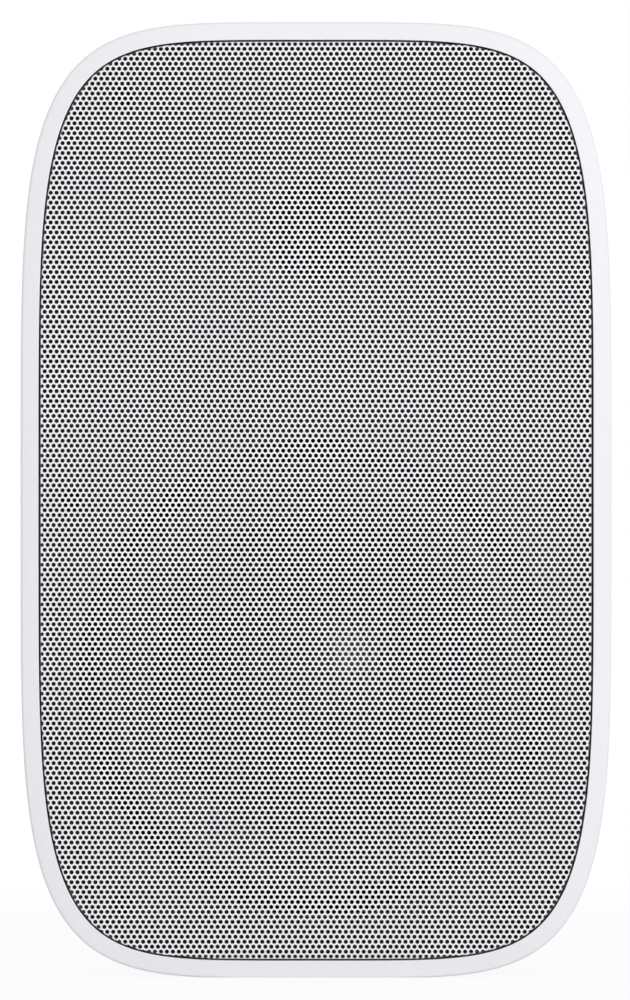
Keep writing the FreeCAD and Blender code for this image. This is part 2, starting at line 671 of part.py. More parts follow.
def front_baffle():
    """The black baffle with a locating rib for the grille, driver openings and countersunk screw holes."""
    rib = RIM_WIDTH + GRILLE_GAP + GRILLE_THICKNESS + BAFFLE_GAP
    plate = front_prism(RIM_WIDTH + BAFFLE_GAP, BAFFLE_FRONT, BAFFLE_BACK)
    plate = plate.fuse(front_ring(rib, rib + RIB_THICKNESS, BAFFLE_FRONT - RIB_HEIGHT, BAFFLE_FRONT))
    seat_back = RECESS_FLOOR + RECESS_FLOOR_WALL
    plate = plate.fuse(rod(0.0, WOOFER_AXIS, SEAT_RING_RADIUS, BAFFLE_BACK, seat_back))
    cuts = [rod(0.0, WOOFER_AXIS, RECESS_RADIUS, BAFFLE_FRONT - OVERRUN, RECESS_FLOOR)]
    cuts.append(rod(0.0, WOOFER_AXIS, BASKET_RADIUS + RECESS_GAP, RECESS_FLOOR - OVERRUN, seat_back + OVERRUN))
    mouth = TWEETER_OPENING + FLARE_GAP
    flare = [(0.0, BAFFLE_FRONT), (mouth + FLARE, BAFFLE_FRONT), (mouth, BAFFLE_BACK), (0.0, BAFFLE_BACK)]
    cuts.append(turned(flare, TWEETER_AXIS))
    for x, z in baffle_screw_places():
        sink = BAFFLE_FRONT + HEAD_SINK
        cuts.append(rod(x, z, BAFFLE_HEAD_RADIUS + HEAD_GAP, BAFFLE_FRONT - OVERRUN, sink))
        cuts.append(rod(x, z, BAFFLE_SCREW_RADIUS + HOLE_GAP, BAFFLE_FRONT, BAFFLE_BACK + OVERRUN))
    for x, z in ring_places(WOOFER_SCREW_COUNT, WOOFER_SCREW_CIRCLE, WOOFER_AXIS):
        cuts.append(rod(x, z, SCREW_RADIUS + FIT_GAP, RECESS_FLOOR - OVERRUN, seat_back + OVERRUN))
    for x, z in ring_places(TWEETER_SCREW_COUNT, TWEETER_SCREW_CIRCLE, TWEETER_AXIS):
        pilot = BAFFLE_BACK - TWEETER_SCREW_REACH - HEAD_GAP
        cuts.append(rod(x, z, SCREW_RADIUS + FIT_GAP, pilot, BAFFLE_BACK + OVERRUN))
    return plate.cut(cuts)


def baffle_gasket():
    """The foam seal between the baffle and the cabinet's ledge."""
    places = baffle_screw_places()
    eye = BAFFLE_SCREW_RADIUS + BOSS_WALL
    inner = RIM_WIDTH + LEDGE_WIDTH
    seal = front_ring(RIM_WIDTH + BAFFLE_GAP, inner, BAFFLE_BACK, POCKET_DEPTH)
    seal = seal.fuse([rod(x, z, eye, BAFFLE_BACK, POCKET_DEPTH) for x, z in places])
    front = BAFFLE_BACK - OVERRUN
    back = POCKET_DEPTH + OVERRUN
    cuts = [rod(x, z, BAFFLE_SCREW_RADIUS + HOLE_GAP, front, back) for x, z in places]
    return seal.cut(cuts + [rod(0.0, WOOFER_AXIS, SEAT_RING_RADIUS + RECESS_GAP, front, back)])


def baffle_screws():
    """The six screws that hold the baffle in the cabinet."""
    seat = BAFFLE_FRONT + HEAD_SINK
    sizes = (BAFFLE_SCREW_RADIUS, BAFFLE_HEAD_RADIUS, BAFFLE_HEAD_HEIGHT, seat)
    reach = POCKET_DEPTH + BOSS_LENGTH - 2 * INSERT_FLOOR - seat
    return [screw(x, z, *sizes, min(BAFFLE_SCREW_LENGTH, reach)) for x, z in baffle_screw_places()]


def bracket_inserts():
    """The two threaded brass inserts in the back of the cabinet."""
    front = DEPTH - INSERT_LENGTH
    return [tube(0.0, z, INSERT_RADIUS, INSERT_BORE, front, DEPTH) for z in INSERT_HEIGHTS]


def damping_pad():
    """The wadding on the back wall, above the amplifier."""
    low = PANEL_CENTRE + PANEL_HEIGHT / 2 + PANEL_GAP + WALL + BOSS_WALL
    high = INSERT_HEIGHTS[1] + PAD_CORNER
    back = DEPTH - WALL - PAD_GAP
    pad = rounded_block(0.0, (low + high) / 2, PAD_WIDTH, high - low, PAD_CORNER, back - PAD_THICKNESS, back)
    hole = INSERT_RADIUS + BOSS_WALL + PAD_HOLE_GAP
    return pad.cut([rod(0.0, z, hole, back - PAD_THICKNESS, DEPTH) for z in INSERT_HEIGHTS])


def woofer_basket():
    """The cast basket: mounting flange, six windowed arms, spider shelf, motor seat and tag lug."""
    neck_depth = RECESS_FLOOR + BASKET_WALL
    shelf_outer = SHELF_RADIUS + BASKET_WALL
    seat_radius = SHELF_BORE + BASKET_WALL
    seat_front = MOTOR_FRONT - FLANGE_THICKNESS
    shell = turned([
        (SURROUND_RADIUS, FLANGE_FRONT),
        (FRAME_RADIUS, FLANGE_FRONT),
        (FRAME_RADIUS, RECESS_FLOOR),
        (BASKET_RADIUS, RECESS_FLOOR),
        (BASKET_RADIUS, neck_depth),
        (shelf_outer, SHELF_DEPTH),
        (seat_radius, SHELF_DEPTH + BASKET_WALL),
        (seat_radius, MOTOR_FRONT),
        (SHELF_BORE - MOTOR_SEAT + BASKET_WALL, MOTOR_FRONT),
        (SHELF_BORE - MOTOR_SEAT + BASKET_WALL, seat_front),
        (SHELF_BORE, seat_front),
        (SHELF_BORE, SHELF_DEPTH),
        (SHELF_RADIUS, SHELF_DEPTH),
        (BASKET_RADIUS - BASKET_WALL, neck_depth),
        (SURROUND_RADIUS, RECESS_FLOOR),
    ], WOOFER_AXIS)
    window_front = neck_depth + WINDOW_MARGIN
    window_back = SHELF_DEPTH - WINDOW_MARGIN
    windows = []
    for step in range(WINDOW_COUNT):
        window = Part.makeCylinder(FRAME_RADIUS, window_back - window_front, Vector(0, 0, 0), Vector(0, 0, 1),
                                   WINDOW_DEGREES)
        window.rotate(Vector(0, 0, 0), Vector(0, 0, 1), 360 * step / WINDOW_COUNT - WINDOW_DEGREES / 2)
        window.rotate(Vector(0, 0, 0), ACROSS, -90)
        window.translate(place(0.0, window_front, WOOFER_AXIS))
        windows.append(window)
    shell = shell.cut(windows)
    lug_base = WOOFER_AXIS + SHELF_RADIUS
    shell = shell.fuse(block(0.0, lug_base + BASKET_WALL / 2 + LUG_RISE / 2, LUG_WIDTH,
                             BASKET_WALL + LUG_RISE, SHELF_DEPTH - LUG_LENGTH / 2, SHELF_DEPTH + LUG_LENGTH / 2))
    shell = shell.cut(rod(0.0, WOOFER_AXIS, SHELF_RADIUS, FLANGE_FRONT, SHELF_DEPTH))
    places = ring_places(WOOFER_SCREW_COUNT, WOOFER_SCREW_CIRCLE, WOOFER_AXIS)
    hole = SCREW_RADIUS + HOLE_GAP
    return shell.cut([rod(x, z, hole, FLANGE_FRONT - OVERRUN, RECESS_FLOOR + OVERRUN) for x, z in places])


def woofer_trim_ring():
    """The ring that clamps the surround and hides the woofer's screws."""
    bore = SURROUND_RADIUS + TRIM_GAP
    step = SURROUND_RADIUS + SURROUND_FLANGE + TRIM_GAP
    trim = turned([
        (bore + TRIM_GAP, TRIM_FRONT),
        (FRAME_RADIUS - TRIM_GAP, TRIM_FRONT),
        (FRAME_RADIUS, TRIM_FRONT + TRIM_GAP),
        (FRAME_RADIUS, FLANGE_FRONT),
        (step, FLANGE_FRONT),
        (step, TRIM_BACK),
        (bore, TRIM_BACK),
        (bore, TRIM_FRONT + TRIM_GAP),
    ], WOOFER_AXIS)
    pocket = SCREW_HEAD_RADIUS + TRIM_GAP
    front = FLANGE_FRONT - SCREW_HEAD_HEIGHT - TRIM_GAP
    places = ring_places(WOOFER_SCREW_COUNT, WOOFER_SCREW_CIRCLE, WOOFER_AXIS)
    return trim.cut([rod(x, z, pocket, front, FLANGE_FRONT + OVERRUN) for x, z in places])


def woofer_screws():
    """The screws through the basket's flange into the baffle."""
    sizes = (SCREW_RADIUS, SCREW_HEAD_RADIUS, SCREW_HEAD_HEIGHT, FLANGE_FRONT, WOOFER_SCREW_REACH)
    places = ring_places(WOOFER_SCREW_COUNT, WOOFER_SCREW_CIRCLE, WOOFER_AXIS)
    return [screw(x, z, *sizes) for x, z in places]


def cone_front(radius):
    """Depth of the cone's front face at a radius."""
    return CONE_EDGE + (CONE_RADIUS - radius) * CONE_SLOPE


def woofer_surround():
    """The half-roll rubber surround, glued to the cone and clamped under the trim ring."""
    middle = CONE_RADIUS + ROLL_RADIUS
    bore = ROLL_RADIUS - SURROUND_THICKNESS
    foot = middle + math.sqrt(ROLL_RADIUS ** 2 - SURROUND_THICKNESS ** 2)
    flange = SURROUND_RADIUS + SURROUND_FLANGE
    lip = CONE_RADIUS - LIP_WIDTH
    lip_back = cone_front(lip) - GLUE_GAP
    edge_back = CONE_EDGE - GLUE_GAP
    return turned([
        (foot, TRIM_BACK),
        (middle, FLANGE_FRONT - ROLL_RADIUS, CONE_RADIUS, FLANGE_FRONT),
        (lip, lip_back - SURROUND_THICKNESS),
        (lip, lip_back),
        (CONE_RADIUS, edge_back),
        (CONE_RADIUS + SURROUND_THICKNESS, FLANGE_FRONT),
        (middle, FLANGE_FRONT - bore, middle + bore, FLANGE_FRONT),
        (flange, FLANGE_FRONT),
        (flange, TRIM_BACK),
    ], WOOFER_AXIS)


def woofer_cone():
    """The coated paper cone."""
    back = CONE_THICKNESS * math.hypot(1.0, CONE_SLOPE)
    return turned([
        (CONE_RADIUS, CONE_EDGE),
        (CONE_RADIUS, CONE_EDGE + back),
        (NECK_RADIUS, cone_front(NECK_RADIUS) + back),
        (NECK_RADIUS, cone_front(NECK_RADIUS)),
    ], WOOFER_AXIS)


def dome_profile(edge, rise, rim, thickness):
    """A thin dome of the given edge radius and rise, whose rim lies at a depth."""
    sphere = (edge ** 2 + rise ** 2) / (2 * rise)
    apex = rim - rise
    half = edge / 2
    half_depth = apex + sphere - math.sqrt(sphere ** 2 - half ** 2)
    inner = [(edge, rim + thickness), (half, half_depth + thickness, 0.0, apex + thickness)]
    return [(0.0, apex), (half, half_depth, edge, rim)] + inner


def woofer_dust_cap():
    """The domed cap glued over the cone's neck."""
    rim = cone_front(CAP_RADIUS) - CAP_THICKNESS - GLUE_GAP
    return turned(dome_profile(CAP_RADIUS, CAP_RISE, rim, CAP_THICKNESS), WOOFER_AXIS)


def woofer_spider():
    """The corrugated cloth spider that centres the coil."""
    inner = FORMER_RADIUS + GLUE_GAP
    outer = SPIDER_RADIUS
    flat = SHELF_DEPTH - SPIDER_THICKNESS - GLUE_GAP
    steps = 2 * SPIDER_WAVES
    crest = [(inner, flat)]
    for step in range(steps + 1):
        radius = inner + SHELF_WIDTH + (outer - inner - 2 * SHELF_WIDTH) * step / steps
        crest.append((radius, flat - SPIDER_WAVE * (step % 2)))
    crest.append((outer, flat))
    back = [(radius, depth + SPIDER_THICKNESS) for radius, depth in reversed(crest)]
    return turned(crest + back, WOOFER_AXIS)


def woofer_former():
    """The tube that carries the woofer's coil."""
    front = cone_front(NECK_RADIUS) - GLUE_GAP
    return tube(0.0, WOOFER_AXIS, FORMER_RADIUS, FORMER_BORE, front, front + FORMER_LENGTH)


def woofer_winding():
    """The copper coil, centred in the top plate."""
    front = MOTOR_FRONT + TOP_PLATE_THICKNESS / 2 - WINDING_LENGTH / 2
    bore = FORMER_RADIUS + FIT_GAP
    return tube(0.0, WOOFER_AXIS, WINDING_RADIUS, bore, front, front + WINDING_LENGTH)


def woofer_top_plate():
    """The steel plate between basket and magnet."""
    return tube(0.0, WOOFER_AXIS, TOP_PLATE_RADIUS, WINDING_RADIUS + COIL_GAP, MOTOR_FRONT, MAGNET_FRONT)


def woofer_magnet():
    """The ferrite ring."""
    return tube(0.0, WOOFER_AXIS, MAGNET_RADIUS, MAGNET_BORE, MAGNET_FRONT, YOKE_FRONT)


def woofer_yoke():
    """The back plate with its pole."""
    pole = FORMER_BORE - COIL_GAP
    return turned([
        (0.0, MOTOR_FRONT - POLE_PROUD),
        (pole, MOTOR_FRONT - POLE_PROUD),
        (pole, YOKE_FRONT),
        (TOP_PLATE_RADIUS, YOKE_FRONT),
        (TOP_PLATE_RADIUS, WOOFER_BACK),
        (0.0, WOOFER_BACK),
    ], WOOFER_AXIS)


def tag_seat():
    """Height of the lug's top face, where the tag strip lies."""
    return WOOFER_AXIS + SHELF_RADIUS + BASKET_WALL + LUG_RISE


def woofer_tag_strip():
    """The insulating strip on the basket's lug."""
    middle = tag_seat() + STRIP_THICKNESS / 2
    half = LUG_LENGTH / 2
    return block(0.0, middle, LUG_WIDTH, STRIP_THICKNESS, SHELF_DEPTH - half, SHELF_DEPTH + half)


def woofer_tags():
    """The two brass tags on the strip."""
    middle = tag_seat() + STRIP_THICKNESS + TAG_THICKNESS / 2
    front = SHELF_DEPTH - LUG_LENGTH / 2
    sides = (-TAG_SPACING / 2, TAG_SPACING / 2)
    return [block(x, middle, TAG_WIDTH, TAG_THICKNESS, front, front + TAG_LENGTH) for x in sides]


def tweeter_faceplate():
    """The plate that carries the tweeter behind the baffle."""
    flange = DOME_EDGE + DOME_FLANGE + HEAD_GAP
    seat = DOME_RIM + FIT_GAP
    plate = turned([
        (flange, BAFFLE_BACK),
        (TWEETER_PLATE_RADIUS, BAFFLE_BACK),
        (TWEETER_PLATE_RADIUS, TWEETER_PLATE_BACK),
        (TWEETER_OPENING, TWEETER_PLATE_BACK),
        (TWEETER_OPENING, seat),
        (flange, seat),
    ], TWEETER_AXIS)
    hole = SCREW_RADIUS + HOLE_GAP
    places = ring_places(TWEETER_SCREW_COUNT, TWEETER_SCREW_CIRCLE, TWEETER_AXIS)
    return plate.cut([rod(x, z, hole, BAFFLE_BACK - OVERRUN, TWEETER_PLATE_BACK + OVERRUN) for x, z in places])


def tweeter_dome():
    """The soft dome with its roll and mounting flange, in one piece."""
    sphere = (DOME_RADIUS ** 2 + DOME_RISE ** 2) / (2 * DOME_RISE)
    apex = DOME_RIM - DOME_RISE
    half = DOME_RADIUS / 2
    half_depth = apex + sphere - math.sqrt(sphere ** 2 - half ** 2)
    crest = DOME_RADIUS + DOME_ROLL / 2
    crest_depth = DOME_SEAT - DOME_ROLL_RISE
    flange = DOME_EDGE + DOME_FLANGE
    thick = DOME_THICKNESS
    return turned([
        (0.0, apex),
        (half, half_depth, DOME_RADIUS, DOME_RIM),
        (crest, crest_depth, DOME_EDGE, DOME_SEAT),
        (flange, DOME_SEAT),
        (flange, DOME_SEAT + thick),
        (DOME_EDGE, DOME_SEAT + thick),
        (crest, crest_depth + thick, DOME_RADIUS, DOME_RIM + thick),
        (half, half_depth + thick, 0.0, apex + thick),
    ], TWEETER_AXIS)


def tweeter_coil():
    """The tweeter's coil on its former, behind the dome's edge."""
    front = DOME_RIM + DOME_THICKNESS + GLUE_GAP
    back = TWEETER_MAGNET_FRONT + FIT_GAP
    return turned([
        (TWEETER_COIL_BORE, front),
        (TWEETER_COIL_RADIUS, front),
        (TWEETER_COIL_RADIUS, TWEETER_PLATE_BACK),
        (TWEETER_WINDING_RADIUS, TWEETER_PLATE_BACK),
        (TWEETER_WINDING_RADIUS, back),
        (TWEETER_COIL_BORE, back),
    ], TWEETER_AXIS)


def tweeter_top_plate():
    """The steel plate behind the tweeter's faceplate."""
    bore = TWEETER_WINDING_RADIUS + COIL_GAP
    return tube(0.0, TWEETER_AXIS, TWEETER_MOTOR_RADIUS, bore, TWEETER_PLATE_BACK, TWEETER_MAGNET_FRONT)


def tweeter_magnet():
    """The tweeter's ferrite ring."""
    radius = TWEETER_MOTOR_RADIUS + COIL_GAP
    return tube(0.0, TWEETER_AXIS, radius, TWEETER_MAGNET_BORE, TWEETER_MAGNET_FRONT, TWEETER_YOKE_FRONT)


def tweeter_yoke():
    """The tweeter's back plate with its pole."""
    pole = TWEETER_COIL_BORE - COIL_GAP
    pole_front = TWEETER_PLATE_BACK - POLE_PROUD
    return turned([
        (0.0, pole_front),
        (pole, pole_front),
        (pole, TWEETER_YOKE_FRONT),
        (TWEETER_MOTOR_RADIUS, TWEETER_YOKE_FRONT),
        (TWEETER_MOTOR_RADIUS, TWEETER_BACK),
        (0.0, TWEETER_BACK),
    ], TWEETER_AXIS)


def tweeter_screws():
    """The screws that hold the tweeter to the back of the baffle."""
    reach = -(TWEETER_PLATE_THICKNESS + TWEETER_SCREW_REACH)
    sizes = (SCREW_RADIUS, SCREW_HEAD_RADIUS, SCREW_HEAD_HEIGHT, TWEETER_PLATE_BACK, reach)
    places = ring_places(TWEETER_SCREW_COUNT, TWEETER_SCREW_CIRCLE, TWEETER_AXIS)
    return [screw(x, z, *sizes) for x, z in places]


def amp_panel():
    """The rear panel with the openings for everything mounted on it."""
    front = PANEL_INNER - OVERRUN
    back = PANEL_OUTER + OVERRUN
    cuts = [rod(x, z, SCREW_RADIUS + HOLE_GAP, front, back) for x, z in panel_screw_places()]
    cuts += [rod(x, CONTROL_HEIGHT, BUSH_RADIUS + HOLE_GAP, front, back) for x in CONTROLS.values()]
    cuts += [rod(x, SOCKET_HEIGHT, BARREL_RADIUS + HOLE_GAP, front, back) for x in SOCKETS.values()]
    inlet = (INLET_BODY_WIDTH + 2 * HOLE_GAP, INLET_BODY_HEIGHT + 2 * HOLE_GAP, front, back)
    cuts.append(block(INLET_CENTRE, POWER_HEIGHT, *inlet))
    switch = (BEZEL_WIDTH - 2 * BEZEL_LIP + 2 * HOLE_GAP, BEZEL_HEIGHT - 2 * BEZEL_LIP + 2 * HOLE_GAP)
    cuts.append(block(SWITCH_CENTRE, POWER_HEIGHT, *switch, front, back))
    margin = 2 * TERMINAL_BODY_INSET - 2 * HOLE_GAP
    terminal = (TERMINAL_WIDTH - margin, TERMINAL_HEIGHT - margin, front, back)
    cuts.append(block(TERMINAL_CENTRE, SOCKET_HEIGHT, *terminal))
    return panel_plate(0.0, PANEL_INNER, PANEL_OUTER).cut(cuts)


def amp_gasket():
    """The seal between the rear panel and its ledge."""
    seal = panel_plate(0.0, PANEL_SEAT, PANEL_INNER)
    seal = seal.cut(panel_plate(PANEL_GAP - PANEL_LEDGE_WIDTH, PANEL_SEAT - OVERRUN, PANEL_INNER + OVERRUN))
    hole = SCREW_RADIUS + HOLE_GAP
    places = panel_screw_places()
    return seal.cut([rod(x, z, hole, PANEL_SEAT - OVERRUN, PANEL_INNER + OVERRUN) for x, z in places])


def amp_screws():
    """The screws that hold the rear panel."""
    reach = -(PANEL_THICKNESS + PANEL_GASKET_THICKNESS + PANEL_SCREW_REACH)
    sizes = (SCREW_RADIUS, SCREW_HEAD_RADIUS, SCREW_HEAD_HEIGHT, PANEL_OUTER, reach)
    return [screw(x, z, *sizes) for x, z in panel_screw_places()]


def standoff_places():
    """Side offsets and heights of the board's standoffs."""
    side = BOARD_WIDTH / 2 - STANDOFF_INSET
    rise = BOARD_HEIGHT / 2 - STANDOFF_INSET
    return [(x, PANEL_CENTRE + z) for x in (-side, side) for z in (-rise, rise)]


def amp_board():
    """The circuit board."""
    board = block(0.0, PANEL_CENTRE, BOARD_WIDTH, BOARD_HEIGHT, BOARD_FRONT, BOARD_BACK)
    bolt = rod(0.0, PANEL_CENTRE + TOROID_ROW, CLAMP_BOLT + HOLE_GAP, BOARD_FRONT - OVERRUN, BOARD_BACK + OVERRUN)
    return board.cut(bolt)


def board_standoffs():
    """The pillars between the rear panel and the board."""
    return [hexagon(x, z, 2 * STANDOFF_RADIUS, BOARD_BACK, PANEL_INNER) for x, z in standoff_places()]


def heat_sink():
    """The finned aluminium extrusion on the board."""
    middle = PANEL_CENTRE + SINK_ROW
    sink = block(0.0, middle, SINK_WIDTH, SINK_DEPTH, BOARD_FRONT - SINK_HEIGHT, BOARD_FRONT)
    gap = (SINK_WIDTH - SINK_FIN) / (SINK_FINS - 1) - SINK_FIN
    cuts = []
    for step in range(SINK_FINS - 1):
        x = -SINK_WIDTH / 2 + SINK_FIN + gap / 2 + step * (gap + SINK_FIN)
        front = BOARD_FRONT - SINK_HEIGHT - OVERRUN
        cuts.append(block(x, middle, gap, 2 * SINK_DEPTH, front, BOARD_FRONT - SINK_FOOT))
    return sink.cut(cuts)


def mains_transformer():
    """The taped toroidal transformer."""
    front = BOARD_FRONT - TOROID_HEIGHT
    outer = TOROID_RADIUS - TOROID_ROUND
    inner = TOROID_BORE + TOROID_ROUND / 2
    return turned([
        (inner, front),
        (outer, front),
        (TOROID_RADIUS, front + TOROID_ROUND),
        (TOROID_RADIUS, BOARD_FRONT - TOROID_ROUND / 2),
        (TOROID_RADIUS - TOROID_ROUND / 2, BOARD_FRONT),
        (TOROID_BORE, BOARD_FRONT),
        (TOROID_BORE, front + TOROID_ROUND / 2),
    ], PANEL_CENTRE + TOROID_ROW)


def transformer_clamp():
    """The washer, bolt and nut that hold the transformer down."""
    axis = PANEL_CENTRE + TOROID_ROW
    front = BOARD_FRONT - TOROID_HEIGHT - CLAMP_THICKNESS
    clamp = rod(0.0, axis, CLAMP_RADIUS, front, front + CLAMP_THICKNESS)
    clamp = clamp.fuse(hexagon(0.0, axis, CLAMP_NUT_ACROSS, front - CLAMP_NUT_HEIGHT, front))
    clamp = clamp.fuse(rod(0.0, axis, CLAMP_BOLT, front, BOARD_BACK))
    return clamp.fuse(hexagon(0.0, axis, CLAMP_NUT_ACROSS, BOARD_BACK, BOARD_BACK + CLAMP_NUT_HEIGHT))


def capacitors():
    """The two smoothing capacitors."""
    sides = (-CAPACITOR_SPACING / 2, CAPACITOR_SPACING / 2)
    middle = PANEL_CENTRE + CAPACITOR_ROW
    return [rod(x, middle, CAPACITOR_RADIUS, BOARD_FRONT - CAPACITOR_HEIGHT, BOARD_FRONT) for x in sides]


def bush_back():
    """Depth of the outer end of the potentiometers' threaded bushes."""
    return PANEL_OUTER + BUSH_PROUD


def pot(x):
    """A potentiometer: its case behind the panel and its threaded bush through it."""
    front = PANEL_INNER - POT_DEPTH
    case = rounded_block(x, CONTROL_HEIGHT, POT_SIZE, POT_SIZE, EDGE_ROUND, front, PANEL_INNER)
    case = case.fuse(rod(x, CONTROL_HEIGHT, BUSH_RADIUS, PANEL_INNER - OVERRUN, bush_back()))
    tail = PANEL_INNER - SHAFT_TAIL
    return case.cut(rod(x, CONTROL_HEIGHT, SHAFT_RADIUS + SHAFT_GAP, tail, bush_back() + OVERRUN))


def pot_nuts():
    """The hexagon nuts on the bushes."""
    nuts = []
    for x in CONTROLS.values():
        nut = hexagon(x, CONTROL_HEIGHT, POT_NUT_ACROSS, PANEL_OUTER, PANEL_OUTER + POT_NUT_HEIGHT)
        bore = rod(x, CONTROL_HEIGHT, BUSH_RADIUS + FIT_GAP, PANEL_OUTER - OVERRUN, bush_back())
        nuts.append(nut.cut(bore))
    return nuts


def pot_shaft(x):
    """A potentiometer's shaft, from the end of its bore to under the knob's roof."""
    tail = PANEL_INNER - SHAFT_TAIL + FIT_GAP
    tip = PANEL_OUTER + KNOB_LIFT + KNOB_HEIGHT - KNOB_ROOF
    return rod(x, CONTROL_HEIGHT, SHAFT_RADIUS, tail, tip)


def knob(x, radius):
    """A fluted knob, hollow over the nut, with a pointer groove in its face."""
    height = CONTROL_HEIGHT
    front = PANEL_OUTER + KNOB_LIFT
    back = front + KNOB_HEIGHT
    roof = back - KNOB_ROOF
    corners = [(0.0, front), (radius, front), (radius - KNOB_TAPER, back - KNOB_TAPER)]
    solid = turned(corners + [(radius - 2 * KNOB_TAPER, back), (0.0, back)], height)
    solid.translate(Vector(x, 0, 0))
    hollow = min(POT_NUT_ACROSS / math.sqrt(3) + HEAD_GAP, radius - 2 * KNOB_TAPER)
    cuts = [rod(x, height, hollow, front - OVERRUN, bush_back() + HEAD_GAP)]
    cuts.append(rod(x, height, SHAFT_RADIUS + SHAFT_GAP, front, roof))
    for step in range(KNOB_FLUTES):
        turn = 2 * math.pi * step / KNOB_FLUTES
        reach = radius + FLUTE_RADIUS / 3
        spot = (x + reach * math.sin(turn), height + reach * math.cos(turn))
        cuts.append(rod(*spot, FLUTE_RADIUS, front + 2 * KNOB_TAPER, back + OVERRUN))
    groove = back - POINTER_SINK
    cuts.append(block(x, height + radius / 2, POINTER_WIDTH, radius, groove, back + OVERRUN))
    return solid.cut(cuts)


def input_socket(x):
    """A phono input socket: its body behind the panel and its barrel through it."""
    barrel_back = PANEL_OUTER + BARREL_LENGTH
    body_front = PANEL_INNER - SOCKET_BODY_LENGTH
    socket = rod(x, SOCKET_HEIGHT, SOCKET_BODY_RADIUS, body_front, PANEL_INNER)
    socket = socket.fuse(rod(x, SOCKET_HEIGHT, BARREL_RADIUS, PANEL_INNER - OVERRUN, barrel_back))
    bore = rod(x, SOCKET_HEIGHT, BARREL_BORE, barrel_back - BARREL_BORE_DEPTH, barrel_back + OVERRUN)
    return socket.cut(bore)


def input_ring(x):
    """The coloured ring round a socket's barrel."""
    back = PANEL_OUTER + RING_THICKNESS
    return tube(x, SOCKET_HEIGHT, RING_RADIUS, BARREL_RADIUS + FIT_GAP, PANEL_OUTER, back)


def lever_pivot():
    """Depth and height of the levers' pivots."""
    depth = PANEL_OUTER + LEVER_FLOOR + LEVER_PIVOT_RADIUS + LEVER_GAP
    return depth, SOCKET_HEIGHT - LEVER_PIVOT_DROP


def terminal_housing():
    """The housing of the output terminals, with a pocket for each lever and a hole for each wire."""
    middle = SOCKET_HEIGHT
    back = PANEL_OUTER + TERMINAL_PROUD
    pivot_depth, pivot = lever_pivot()
    outside = (TERMINAL_WIDTH, TERMINAL_HEIGHT, TERMINAL_CORNER, PANEL_OUTER, back)
    housing = rounded_block(TERMINAL_CENTRE, middle, *outside)
    inside = (TERMINAL_WIDTH - 2 * TERMINAL_BODY_INSET, TERMINAL_HEIGHT - 2 * TERMINAL_BODY_INSET)
    body_front = PANEL_OUTER - TERMINAL_BODY_LENGTH
    housing = housing.fuse(block(TERMINAL_CENTRE, middle, *inside, body_front, PANEL_OUTER))
    low = pivot - LEVER_PIVOT_RADIUS - LEVER_GAP
    high = pivot + LEVER_LENGTH + LEVER_SWEEP_GAP
    pocket_width = LEVER_WIDTH + 2 * LEVER_GAP
    cuts = []
    for x in LEVERS.values():
        floor = PANEL_OUTER + LEVER_FLOOR
        cuts.append(block(x, (low + high) / 2, pocket_width, high - low, floor, back + OVERRUN))
        length = LEVER_WIDTH + 2 * TRUNNION_LENGTH + 2 * FIT_GAP
        cuts.append(cross_rod(x, pivot, pivot_depth, TRUNNION_RADIUS + FIT_GAP, length))
        cuts.append(rod(x, middle - WIRE_HOLE_DROP, WIRE_HOLE_RADIUS, floor, back + OVERRUN))
    return housing.cut(cuts)


def terminal_lever(x):
    """A lever on its pivot barrel, leaning out at rest."""
    depth, pivot = lever_pivot()
    half = LEVER_THICKNESS / 2
    tip = pivot + LEVER_LENGTH
    corners = [(depth - half, pivot), (depth + half, pivot), (depth + half, tip), (depth - half, tip)]
    lever = side_prism(x, LEVER_WIDTH, corners)
    lever = lever.fuse(cross_rod(x, pivot, depth, LEVER_PIVOT_RADIUS, LEVER_WIDTH))
    lever = lever.fuse(cross_rod(x, pivot, depth, TRUNNION_RADIUS, LEVER_WIDTH + 2 * TRUNNION_LENGTH))
    lever.rotate(place(x, depth, pivot), ACROSS, -LEVER_REST_DEGREES)
    return lever


def inlet_profile(width, tall, bevel, front, back):
    """A bar with its two upper corners bevelled."""
    low = POWER_HEIGHT - tall / 2
    high = POWER_HEIGHT + tall / 2
    left = INLET_CENTRE - width / 2
    right = INLET_CENTRE + width / 2
    corners = [(left, low), (right, low), (right, high - bevel), (right - bevel, high)]
    corners += [(left + bevel, high), (left, high - bevel), (left, low)]
    return Part.Face(Part.makePolygon([place(x, front, z) for x, z in corners])).extrude(ALONG * (back - front))


def inlet_pin_blocks(grow):
    """The three flat pins of the inlet, grown by a margin, from their tails to their tips."""
    mouth = PANEL_OUTER + INLET_FLANGE_THICKNESS
    floor = mouth - INLET_CAVITY_DEPTH
    front = floor - INLET_FLOOR - PIN_TAIL
    pins = []
    for step in (-1, 0, 1):
        height = POWER_HEIGHT + (PIN_OFFSET if step == 0 else -PIN_OFFSET)
        size = (PIN_WIDTH + 2 * grow, PIN_HEIGHT + 2 * grow, front, mouth - PIN_RECESS)
        pins.append(block(INLET_CENTRE + step * PIN_SPACING, height, *size))
    return pins


